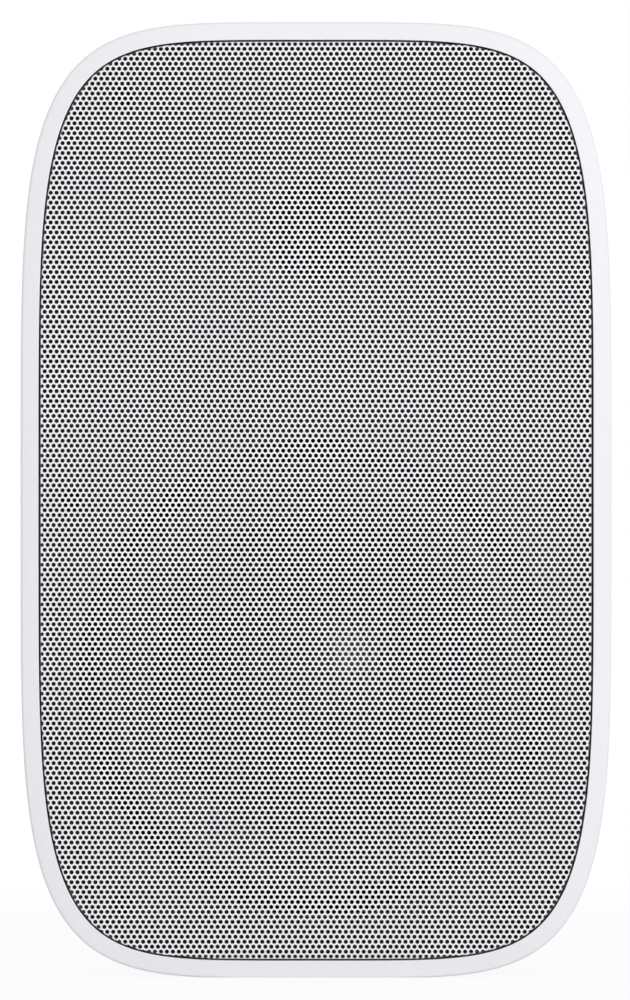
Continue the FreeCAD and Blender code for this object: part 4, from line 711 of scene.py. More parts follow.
class GeometryTree(NodeBench):
    """A geometry node tree with named inputs that ends in real meshes with a material."""

    def __init__(self, name: str, inputs: Mapping[str, Sequence[str]]) -> None:
        """Starts the tree.

        Args:
            name: The tree's name.
            inputs: The names of its inputs, for each kind of socket.
        """
        super().__init__(bpy.data.node_groups.new(name, "GeometryNodeTree"))
        sockets = self.tree.interface
        self.keys: dict[str, str] = {}
        for kind, labels in {**inputs, "Material": ("Material",)}.items():
            for label in labels:
                made = sockets.new_socket(name=label, in_out="INPUT", socket_type=f"NodeSocket{kind}")
                self.keys[label] = made.identifier
        sockets.new_socket(name="Geometry", in_out="OUTPUT", socket_type="NodeSocketGeometry")
        self.given = self.node("NodeGroupInput")

    def shape(self, label: str) -> Signal:
        """The geometry of an object input."""
        settings = {"transform_space": "RELATIVE"}
        return self.node("GeometryNodeObjectInfo", settings, {"Object": self.given[label]})["Geometry"]

    def close(self, result: Signal) -> None:
        """Ends the tree with real meshes and their material."""
        whole = self.node("GeometryNodeRealizeInstances", None, {"Geometry": result})["Geometry"]
        inputs = {"Geometry": whole, "Material": self.given["Material"]}
        dressed = self.node("GeometryNodeSetMaterial", None, inputs)["Geometry"]
        self.node("NodeGroupOutput", None, {"Geometry": dressed})

    def run(
        self, name: str, slot: str, values: Mapping[str, object], thickness: float = 0.0,
    ) -> bpy.types.Mesh:
        """Runs the tree.

        Args:
            name: Name of the resulting mesh.
            slot: The record's slot that it takes its finish from.
            values: A value for each other named input.
            thickness: Thickness that a sheet gets behind its face, if any.

        Returns:
            The plain mesh.
        """
        carrier = linked(name, bpy.data.meshes.new(name))
        change = carrier.modifiers.new("tree", "NODES")
        change.node_group = self.tree
        for label, value in {**values, "Material": PALETTE.material(slot)}.items():
            change[self.keys[label]] = value
        if thickness:
            wall = carrier.modifiers.new("wall", "SOLIDIFY")
            wall.thickness = thickness
            wall.offset = -1
        mesh = plain_mesh(carrier, name)
        discard(carrier)
        return mesh


@dataclass(frozen=True)
class Outline:
    """The superellipse outline of the front, with its middle at a height."""

    half_width: float
    half_height: float
    centre_z: float
    power: float = 4.8
    corner_bias: float = 0.77

    def scaled(self, half_width: float, half_height: float) -> "Outline":
        """The same kind of outline at another size."""
        return Outline(half_width, half_height, self.centre_z, self.power, self.corner_bias)

    def ring(self, y: float, inset: float, count: int) -> list[Vector]:
        """Points round the outline.

        Args:
            y: Where the ring lies, front to back.
            inset: How far it is moved in along its normal.
            count: How many points it has.

        Returns:
            The points, closer together at the corners.
        """
        points = []
        for step in range(count):
            turn = 2 * math.pi * step / count
            side = math.copysign(abs(math.cos(turn)) ** self.corner_bias, math.cos(turn))
            rise = math.copysign(abs(math.sin(turn)) ** self.corner_bias, math.sin(turn))
            reach = (abs(side) ** self.power + abs(rise) ** self.power) ** (-1 / self.power)
            side *= reach
            rise *= reach
            slope_x = math.copysign(abs(side) ** (self.power - 1) / self.half_width, side)
            slope_z = math.copysign(abs(rise) ** (self.power - 1) / self.half_height, rise)
            size = math.hypot(slope_x, slope_z)
            x = self.half_width * side - inset * slope_x / size
            z = self.half_height * rise - inset * slope_z / size
            points.append(Vector((x, y, self.centre_z + z)))
        return points


@dataclass(frozen=True)
class RoundedPanel:
    """A rectangle with round corners, met by rays from its middle."""

    half_width: float
    half_height: float
    corner: float
    centre_z: float
    halvings: int = 40

    def grown(self, margin: float, least_corner: float = 1 * MM) -> "RoundedPanel":
        """The same rectangle with a margin added all round."""
        corner = max(self.corner + margin, least_corner)
        return RoundedPanel(self.half_width + margin, self.half_height + margin, corner, self.centre_z)

    def _outside(self, x: float, z: float) -> float:
        """Distance of a point from the edge, negative inside."""
        over_x = abs(x) - self.half_width + self.corner
        over_z = abs(z) - self.half_height + self.corner
        return math.hypot(max(over_x, 0), max(over_z, 0)) + min(max(over_x, over_z), 0) - self.corner

    def ring(self, y: float, like: Sequence[Vector], like_centre: float) -> list[Vector]:
        """Points on the edge in the directions of another ring's points.

        Args:
            y: Where the ring lies, front to back.
            like: The other ring.
            like_centre: Height of the other ring's middle.

        Returns:
            As many points as the other ring has.
        """
        wide = max(point.x for point in like)
        tall = max(point.z for point in like) - like_centre
        points = []
        for point in like:
            side = point.x / wide * self.half_width
            rise = (point.z - like_centre) / tall * self.half_height
            near, far = 0.0, 2.0
            for _ in range(self.halvings):
                middle = (near + far) / 2
                if self._outside(side * middle, rise * middle) > 0:
                    far = middle
                else:
                    near = middle
            points.append(Vector((side * near, y, self.centre_z + rise * near)))
        return points


def front_outline() -> Outline:
    """The cabinet's front outline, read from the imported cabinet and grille."""
    low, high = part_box("grille")
    centre = (low.z + high.z) / 2
    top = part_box("cabinet_shell")[1].z
    return Outline(half_width_of("cabinet_shell"), top - centre, centre)


@dataclass
class Cabinet:
    """The moulded white cabinet as one smooth closed shell."""

    outline: Outline
    front_y: float
    depth: float
    panel: RoundedPanel
    panel_seat_y: float
    rim_width: float = 6.0 * MM
    rim_land: float = 0.4 * MM
    land_round: float = 0.15 * MM
    bevel_depth: float = 1.2 * MM
    edge_round: float = 1.0 * MM
    pocket_depth: float = 14.3 * MM
    ledge_width: float = 10.0 * MM
    ledge_thickness: float = 4.0 * MM
    wall: float = 3.2 * MM
    back_half_width: float = 66.0 * MM
    back_half_height: float = 132.0 * MM
    back_curve: float = 64.0 * MM
    side_power: float = 1.7
    back_power: float = 2.0
    panel_gap: float = 0.6 * MM
    panel_ledge_width: float = 9.0 * MM
    panel_ledge_thickness: float = 6.0 * MM
    mouth_round: float = 0.6 * MM
    insert_gap: float = 0.05 * MM
    ring_points: int = 240
    side_stations: int = 14
    rear_stations: int = 18
    round_stations: int = 6

    def _ring(self, depth: float, inset: float) -> list[Vector]:
        """A ring of the front outline at a depth, moved in by an inset."""
        return self.outline.ring(self.front_y + depth, inset, self.ring_points)

    def _curve_in(self, share: float, power: float) -> float:
        """How far a side has curved in, from 0 to 1."""
        return 1 - (1 - min(share, 1.0) ** power) ** (1 / power)

    def _body_ring(self, depth: float, inset: float) -> list[Vector]:
        """A ring of the tapered body.

        Args:
            depth: Depth of the ring.
            inset: How far it lies inside the outer surface.

        Returns:
            The ring's points.
        """
        start = self.bevel_depth + self.edge_round
        along = min(depth + inset, self.depth)
        side = self._curve_in((along - start) / (self.depth - start), self.side_power)
        past = max(0.0, along - self.depth + self.back_curve)
        rear = self._curve_in(past / self.back_curve, self.back_power)
        half_width = self.outline.half_width + (self.back_half_width - self.outline.half_width) * side
        half_height = self.outline.half_height + (self.back_half_height - self.outline.half_height) * rear
        section = self.outline.scaled(half_width, half_height)
        return section.ring(self.front_y + depth, inset, self.ring_points)

    def _body_depths(self, front: float, back: float) -> list[float]:
        """Depths of the body's rings, closer together where the back turns in.

        Args:
            front: First depth.
            back: Last depth.

        Returns:
            The depths in order.
        """
        straight = self.depth - self.back_curve
        sides = [front + (straight - front) * step / self.side_stations for step in range(self.side_stations)]
        turns = [QUARTER_TURN * step / self.rear_stations for step in range(self.rear_stations + 1)]
        return sides + [straight + (back - straight) * math.sin(turn) for turn in turns]

    def _rim_rings(self) -> list[list[Vector]]:
        """Rings from the pocket's floor over the bevelled rim to its rounded outer edge."""
        inner = self.rim_width
        land = self.land_round
        rings = [self._ring(self.pocket_depth, inner), self._ring(land, inner)]
        rings.append(self._ring(0.0, inner - land))
        rings.append(self._ring(0.0, inner - self.rim_land))
        for step in range(self.round_stations):
            turn = QUARTER_TURN * step / self.round_stations
            depth = self.bevel_depth + self.edge_round * (1 - math.cos(turn))
            rings.append(self._ring(depth, self.edge_round * (1 - math.sin(turn))))
        return rings

    def _recess_rings(self, back: Sequence[Vector]) -> list[list[Vector]]:
        """Rings of the rear recess, from its rounded mouth to the tub's outer wall.

        Args:
            back: The ring round the back face.

        Returns:
            The rings in order.
        """
        back_y = self.front_y + self.depth
        tub_y = self.panel_seat_y - self.panel_ledge_thickness
        mouth = self.panel.grown(self.panel_gap)
        opening = mouth.grown(-self.panel_ledge_width)
        steps = [(mouth.grown(self.mouth_round), back_y)]
        for step in range(1, self.round_stations):
            turn = QUARTER_TURN * step / self.round_stations
            rounded = mouth.grown(self.mouth_round * (1 - math.sin(turn)))
            steps.append((rounded, back_y - self.mouth_round * (1 - math.cos(turn))))
        steps += [(mouth, back_y - self.mouth_round), (mouth, self.panel_seat_y)]
        steps += [(opening, self.panel_seat_y), (opening, tub_y)]
        steps += [(mouth.grown(self.wall), tub_y), (mouth.grown(self.wall), back_y - self.wall)]
        return [panel.ring(y, back, self.outline.centre_z) for panel, y in steps]

    def build(self) -> None:
        """Builds the shell and puts it in the scene."""
        rings = self._rim_rings()
        start = self.bevel_depth + self.edge_round
        cavity = self.pocket_depth + self.ledge_thickness
        rings += [self._body_ring(depth, 0.0) for depth in self._body_depths(start, self.depth)]
        rings += self._recess_rings(rings[-1])
        inner_depths = self._body_depths(cavity, self.depth - self.wall)
        inner = [self._body_ring(depth, self.wall) for depth in inner_depths]
        rings += inner[::-1]
        ledge = self.rim_width + self.ledge_width
        rings += [self._ring(cavity, ledge), self._ring(self.pocket_depth, ledge)]
        for ring in rings:
            for point in ring:
                point.z = max(point.z, 0.0)
        shell = loft("cabinet_skin", rings, looped=True)
        add_piece("cabinet_skin", self._bored(shell), "cabinet_white", stands_for=["cabinet_shell"])

    def _bored(self, shell: bpy.types.Mesh) -> bpy.types.Mesh:
        """The shell with the two holes for the bracket inserts.

        Args:
            shell: The shell's mesh.

        Returns:
            The bored mesh.
        """
        low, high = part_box("bracket_inserts")
        radius = half_width_of("bracket_inserts")
        reach = radius + self.insert_gap
        end = high.y + self.wall
        profile = [(0.0, low.y), (reach, low.y), (reach, end), (0.0, end)]
        heights = (low.z + radius, high.z - radius)
        cutters = [turned("insert_hole", profile, axis_z) for axis_z in heights]
        return smooth(carved(shell, joined("insert_holes", cutters)), SHARP_EDGE)


@dataclass
class Grille:
    """The steel grille: one perforated sheet, laid in bands and folded back all round."""

    outline: Outline
    front_y: float
    back_y: float
    edge: float
    pitch: float = 1.998 * MM
    row_pitch: float = 1.662 * MM
    hole_radius: float = 0.7 * MM
    hole_sides: int = 8
    thickness: float = 0.8 * MM
    bend: float = 0.35 * MM
    bands: int = 6
    edge_points: int = 480
    weld: float = 0.004 * MM
    least_face: float = 0.0005 * MM * MM
    sharp: float = 50.0

    def _cell(self) -> bpy.types.Mesh:
        """One six-sided cell of the sheet round one hole, facing the front."""
        rise = (self.row_pitch ** 2 - self.pitch ** 2 / 4) / (2 * self.row_pitch)
        half = self.pitch / 2
        tip = self.row_pitch - rise
        corners = [(half, rise), (0.0, tip), (-half, rise), (-half, -rise), (0.0, -tip), (half, -rise)]
        sector = 2 * math.pi / self.hole_sides
        radius = self.hole_radius * math.sqrt(sector / math.sin(sector))
        turns = [sector * (step + 0.5) for step in range(self.hole_sides)]
        hole = [(radius * math.cos(turn), radius * math.sin(turn)) for turn in turns]
        work = bmesh.new()
        loops = [[work.verts.new((x, 0.0, z)) for x, z in loop] for loop in (corners, hole)]
        edges = [work.edges.new((loop[i - 1], loop[i])) for loop in loops for i in range(len(loop))]
        bmesh.ops.triangle_fill(work, use_beauty=True, edges=edges)
        work.normal_update()
        bmesh.ops.reverse_faces(work, faces=[face for face in work.faces if face.normal.y > 0])
        mesh = bpy.data.meshes.new("perforation_cell")
        work.to_mesh(mesh)
        work.free()
        return mesh

    def _face(self) -> bpy.types.Mesh:
        """The flat face up to the start of the fold."""
        ring = self.outline.ring(self.front_y, self.edge + self.bend, self.edge_points)
        mesh = bpy.data.meshes.new("grille_outline")
        mesh.from_pydata(ring, [], [tuple(range(self.edge_points))])
        return mesh

    def _lattice(self, tree: GeometryTree) -> Signal:
        """Points in staggered rows.

        Args:
            tree: The sheet's tree.

        Returns:
            The points, one for each hole.
        """
        given = tree.given
        index = tree.node("GeometryNodeInputIndex")["Index"]
        line = (index / given["Columns"]).floor()
        row = line + given["First Row"]
        column = index - line * given["Columns"]
        side = (column - (given["Columns"] - 1) / 2 + (row % 2) / 2) * given["Pitch"]
        height = given["Centre"] + row * given["Row Pitch"]
        inputs = {"X": side, "Y": given["Front"], "Z": height}
        spot = tree.node("ShaderNodeCombineXYZ", None, inputs)["Vector"]
        count = given["Columns"] * given["Rows"]
        return tree.node("GeometryNodePoints", None, {"Count": count, "Position": spot})["Points"]

    def _folded(self, tree: GeometryTree, nearest: MadeNode) -> Signal:
        """Where a point of the flat sheet comes to lie when the sheet is folded back round its face.

        Args:
            tree: The sheet's tree.
            nearest: The nearest place on the face.

        Returns:
            The folded position.
        """
        bend = tree.given["Bend"]
        past = nearest["Distance"].smaller(tree.given["Length"])
        turn = (past / bend).smaller(QUARTER_TURN)
        out = turn.sine() * bend
        back = bend * (1 - turn.cosine()) + (past - bend * QUARTER_TURN).larger(0)
        here = tree.node("GeometryNodeInputPosition")["Position"]
        away = tree.vector("SUBTRACT", here, nearest["Position"])["Vector"]
        inputs = {0: tree.vector("NORMALIZE", away)["Vector"], "Scale": out}
        away = tree.node("ShaderNodeVectorMath", {"operation": "SCALE"}, inputs)["Vector"]
        moved = tree.vector("ADD", nearest["Position"], away)["Vector"]
        behind = tree.node("ShaderNodeCombineXYZ", None, {"Y": back})["Vector"]
        return tree.vector("ADD", moved, behind)["Vector"]

    def _tree(self) -> GeometryTree:
        """The tree that lays staggered cells, welds them and folds the sheet's edge."""
        tree = GeometryTree("perforated_sheet", {
            "Float": ("Pitch", "Row Pitch", "Front", "Centre", "Bend", "Length"),
            "Int": ("Columns", "First Row", "Rows"),
            "Object": ("Cell", "Face"),
        })
        given = tree.given
        nearest = tree.node("GeometryNodeProximity", {"target_element": "FACES"}, {0: tree.shape("Face")})
        cells = tree.node("GeometryNodeInstanceOnPoints", None, {
            "Points": self._lattice(tree),
            "Selection": nearest["Distance"] < given["Length"] + given["Row Pitch"],
            "Instance": tree.shape("Cell"),
        })["Instances"]
        sheet = tree.node("GeometryNodeRealizeInstances", None, {"Geometry": cells})["Geometry"]
        inputs = {"Geometry": sheet, "Distance": self.weld}
        sheet = tree.node("GeometryNodeMergeByDistance", None, inputs)["Geometry"]
        inputs = {"Geometry": sheet, "Position": self._folded(tree, nearest)}
        sheet = tree.node("GeometryNodeSetPosition", None, inputs)["Geometry"]
        empty = tree.node("GeometryNodeInputMeshFaceArea")["Area"] < self.least_face
        inputs = {"Geometry": sheet, "Selection": empty}
        sheet = tree.node("GeometryNodeDeleteGeometry", {"domain": "FACE"}, inputs)["Geometry"]
        inputs = {"Geometry": sheet, "Distance": self.weld}
        tree.close(tree.node("GeometryNodeMergeByDistance", None, inputs)["Geometry"])
        return tree

    def build(self) -> None:
        """Builds the sheet in bands of rows."""
        tree = self._tree()
        cell = linked("perforation_cell", self._cell())
        face = linked("grille_outline", self._face())
        length = self.back_y - self.front_y - self.bend + self.bend * QUARTER_TURN
        half_rows = math.ceil((self.outline.half_height + length) / self.row_pitch)
        columns = 2 * math.ceil((self.outline.half_width + length) / self.pitch)
        rows = 2 * half_rows + 1
        starts = [rows * band // self.bands for band in range(self.bands + 1)]
        for band, (start, stop) in enumerate(zip(starts, starts[1:])):
            name = f"grille_sheet_{band + 1}"
            mesh = tree.run(name, "grille_white", {
                "Pitch": self.pitch,
                "Row Pitch": self.row_pitch,
                "Columns": columns,
                "First Row": start - half_rows,
                "Rows": stop - start,
                "Front": self.front_y,
                "Centre": self.outline.centre_z,
                "Bend": self.bend,
                "Length": length,
                "Cell": cell,
                "Face": face,
            }, thickness=self.thickness)
            add_piece(name, smooth(mesh, self.sharp), "grille_white", stands_for=["grille"])
        discard(cell, face)


@dataclass
class StretchedRing:
    """A soft ring, turned in sectors that lie between the cabinet and a body that travels."""

    name: str
    node: str
    profile: Sequence[Pair]
    axis_z: float
    body: str
    fixed_radius: float
    moving_radius: float
    sectors: int = 12
    sector_steps: int = 14

    def build(self) -> None:
        """Builds the sectors, each as its own piece on no body."""
        width = 2 * math.pi / self.sectors
        for sector in range(self.sectors):
            name = f"{self.name}_{sector + 1:02d}"
            arc = (sector * width, (sector + 1) * width)
            mesh = turned(name, self.profile, self.axis_z, self.sector_steps, looped=True, arc=arc)
            piece = add_piece(name, mesh, SLOT_OF[self.node], None, [self.node])
            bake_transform(piece)


@dataclass
class Woofer:
    """The woofer's thin parts: surround and spider in sectors, cone and dust cap."""

    axis_z: float
    cone_radius: float = 62.6 * MM
    roll_radius: float = 4.7 * MM
    skin: float = 0.8 * MM
    flange: float = 2.0 * MM
    lip_width: float = 7.8 * MM
    glue: float = 0.15 * MM
    cone_skin: float = 0.9 * MM
    cap_radius: float = 36.0 * MM
    cap_skin: float = 0.6 * MM
    cap_lip: float = 0.9 * MM
    spider_cloth: float = 0.5 * MM
    spider_shelf: float = 3.0 * MM
    spider_waves: int = 4
    wave_steps: int = 8
    roll_steps: int = 18
    bead_steps: int = 6
    segments: int = 160

    def _surround_profile(self) -> list[Pair]:
        """The half roll with its glued lip and its clamped flange, as one closed line."""
        low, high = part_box("woofer_surround")
        seat = low.y + self.roll_radius
        middle = self.cone_radius + self.roll_radius
        lip = self.cone_radius - self.lip_width
        half_turn = math.pi
        flange = self.cone_radius + 2 * self.roll_radius + self.flange
        foot_turn = -math.asin(self.skin / self.roll_radius)
        outer = arc_points((middle, seat), self.roll_radius, foot_turn, -half_turn, self.roll_steps)
        inner = arc_points((middle, seat), self.roll_radius - self.skin, -half_turn, 0.0, self.roll_steps)
        profile = outer + [(lip, high.y - self.skin), (lip, high.y), (self.cone_radius, seat + self.skin)]
        return profile + inner + [(flange, seat), (flange, seat - self.skin)]

    def _build_surround(self) -> None:
        """Builds the surround, which stretches from the frame to the cone."""
        edge = self.cone_radius + 2 * self.roll_radius
        StretchedRing("woofer_surround", "woofer_surround", self._surround_profile(), self.axis_z,
                      WOOFER_BODY, edge, self.cone_radius).build()

    def _neck(self) -> float:
        """The radius at which the cone and the spider are glued to the former."""
        return half_width_of("woofer_former") + self.glue

    def _build_spider(self) -> None:
        """Builds the corrugated spider, which stretches from the basket's shelf to the former."""
        low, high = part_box("woofer_spider")
        neck = self._neck()
        flat = high.y - self.spider_cloth
        rise = flat - low.y
        span = high.x - neck - 2 * self.spider_shelf
        steps = self.spider_waves * self.wave_steps
        front = [(neck, flat)]
        for step in range(steps + 1):
            lift = rise * (1 - math.cos(2 * math.pi * step / self.wave_steps)) / 2
            front.append((neck + self.spider_shelf + span * step / steps, flat - lift))
        front.append((high.x, flat))
        profile = thickened(front, self.spider_cloth)
        StretchedRing("woofer_spider_cloth", "woofer_spider", profile, self.axis_z,
                      WOOFER_BODY, high.x - self.spider_shelf, neck + self.spider_shelf).build()

    def _build_cone(self) -> None:
        """Builds the straight-sided cone."""
        low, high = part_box("woofer_cone")
        front = [(self.cone_radius, low.y), (self._neck(), high.y - self.cone_skin)]
        profile = thickened(front, self.cone_skin)
        mesh = turned("woofer_cone_skin", profile, self.axis_z, self.segments, looped=True)
        add_piece("woofer_cone_skin", mesh, "cone_black", WOOFER_BODY, ["woofer_cone"])

    def _build_cap(self) -> None:
        """Builds the dust cap with its turned-out lip."""
        low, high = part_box("woofer_dust_cap")
        rim = high.y - self.cap_skin
        edge = self.cap_radius - self.cap_lip
        sphere, spread = sphere_of(edge, rim - low.y)
        centre = (0.0, low.y + sphere)
        tip, foot = -QUARTER_TURN, spread - QUARTER_TURN
        dome = arc_points(centre, sphere, tip, foot, self.roll_steps)
        under = arc_points(centre, sphere - self.cap_skin, foot, tip, self.roll_steps)
        bead = self.cap_skin / 2
        lip = arc_points((self.cap_radius - bead, rim), bead, tip, QUARTER_TURN, self.bead_steps)
        mesh = turned("woofer_cap_skin", dome + lip + under, self.axis_z, self.segments)
        add_piece("woofer_cap_skin", mesh, "cap_black", WOOFER_BODY, ["woofer_dust_cap"])

    def build(self) -> None:
        """Builds the woofer's thin parts."""
        self._build_surround()
        self._build_spider()
        self._build_cone()
        self._build_cap()


@dataclass
class Tweeter:
    """The tweeter's soft dome: a cap that moves with the coil and a roll that stretches to its flange."""

    axis_z: float
    dome_radius: float = 12.6 * MM
    dome_rise: float = 2.7 * MM
    roll_width: float = 3.4 * MM
    roll_rise: float = 0.85 * MM
    flange: float = 2.5 * MM
    skin: float = 0.35 * MM
    steps: int = 16
    segments: int = 96

    def build(self) -> None:
        """Builds the cap and the roll."""
        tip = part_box("tweeter_dome")[0].y
        rim = tip + self.dome_rise
        sphere, spread = sphere_of(self.dome_radius, self.dome_rise)
        centre = (0.0, tip + sphere)
        dome = arc_points(centre, sphere, -QUARTER_TURN, spread - QUARTER_TURN, self.steps)
        mesh = turned("tweeter_dome_cap", thickened(dome, self.skin), self.axis_z, self.segments)
        add_piece("tweeter_dome_cap", mesh, "dome_cloth", TWEETER_BODY, ["tweeter_dome"])
        seat = rim - self.skin
        roll = []
        for step in range(self.steps + 1):
            share = step / self.steps
            radius = self.dome_radius + self.roll_width * share
            y = rim + (seat - rim) * share - self.roll_rise * math.sin(math.pi * share)
            roll.append((radius, y))
        edge = self.dome_radius + self.roll_width
        profile = thickened(roll + [(edge + self.flange, seat)], self.skin)
        StretchedRing("tweeter_dome_roll", "tweeter_dome", profile, self.axis_z,
                      TWEETER_BODY, edge, self.dome_radius).build()


class Facing(Enum):
    """Which way a screw's head looks, as a turn about the upright axis."""

    FRONT = 0.0
    BACK = math.pi


@dataclass
class ScrewSet:
    """Pan-head screws with cross recesses, on a set of places."""

    name: str
    node: str
    places: Sequence[Pair]
    facing: Facing
    head_radius: float
    head_height: float
    shank_radius: float
    seed: int
    segments: int = 28
    dome_steps: int = 5
    recess_reach: float = 0.56
    recess_width: float = 0.2
    recess_depth: float = 0.62
    recess_taper: float = 0.7
    recess_mouth: float = 1.2
    rim_share: float = 0.4
    sharp: float = 40.0

    def _recess(self) -> bpy.types.Mesh:
        """The cross-shaped cutter, narrower at its foot."""
        rings = []
        mouth = -self.recess_mouth * self.head_height
        foot = -self.head_height * (1 - self.recess_depth)
        for y, taper in ((mouth, 1.0), (foot, self.recess_taper)):
            reach = self.recess_reach * self.head_radius * taper
            half = self.recess_width / 2 * self.head_radius * taper
            ring = []
            for arm in range(4):
                turn = Matrix.Rotation(-QUARTER_TURN * arm, 3, "Y")
                spots = ((half, y, half), (half, y, reach), (-half, y, reach))
                ring += [turn @ Vector(spot) for spot in spots]
            rings.append(ring)
        return loft("recess", rings, capped=True)

    def _screw(self, length: float) -> bpy.types.Mesh:
        """One screw at the origin with its head towards the front.

        Args:
            length: How far its shank reaches back from the head's seat.

        Returns:
            The mesh.
        """
        edge = self.head_radius
        rim = -self.rim_share * self.head_height
        crown = [(0.0, -self.head_height)]
        for step in range(1, self.dome_steps + 1):
            turn = QUARTER_TURN * step / self.dome_steps
            crown.append((edge * math.sin(turn), rim + (-self.head_height - rim) * math.cos(turn)))
        shank = [(edge, 0.0), (self.shank_radius, 0.0), (self.shank_radius, length), (0.0, length)]
        mesh = turned(self.name, crown + shank, 0.0, self.segments)
        return carved(mesh, self._recess())

    def build(self) -> None:
        """Builds the screws in one piece."""
        low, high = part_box(self.node)
        sockets = {"Object": ("Places", "Screw"), "Float": ("Facing",), "Int": ("Seed",)}
        tree = GeometryTree("screw_set", sockets)
        given = tree.given
        settings = {"data_type": "FLOAT"}
        spin = tree.node("FunctionNodeRandomValue", settings, {3: 2 * math.pi, "Seed": given["Seed"]})[1]
        euler = tree.node("ShaderNodeCombineXYZ", None, {"Y": spin, "Z": given["Facing"]})["Vector"]
        turn = tree.node("FunctionNodeEulerToRotation", None, {"Euler": euler})["Rotation"]
        tree.close(tree.node("GeometryNodeInstanceOnPoints", None, {
            "Points": tree.shape("Places"),
            "Instance": tree.shape("Screw"),
            "Rotation": turn,
        })["Instances"])
        length = high.y - low.y - self.head_height
        seat = low.y + self.head_height if self.facing is Facing.FRONT else high.y - self.head_height
        spots = bpy.data.meshes.new("places")
        spots.from_pydata([(x, seat, z) for x, z in self.places], [], [])
        places = linked("places", spots)
        screw = linked("screw", self._screw(length))
        slot = SLOT_OF[self.node]
        values = {"Places": places, "Screw": screw, "Facing": self.facing.value, "Seed": self.seed}
        mesh = tree.run(self.name, slot, values)
        discard(places, screw)
        add_piece(self.name, smooth(mesh, self.sharp), slot, stands_for=[self.node])


def rear_view(x: float, y: float, z: float) -> Matrix:
    """Places a flat shape on a face that looks back, upright and readable from behind.

    Args:
        x: Side offset.
        y: Place front to back.
        z: Height.

    Returns:
        The matrix from the flat shape's own XY plane.
    """
    turn = Matrix(((-1, 0, 0), (0, 0, 1), (0, 1, 0)))
    return Matrix.Translation((x, y, z)) @ turn.to_4x4()


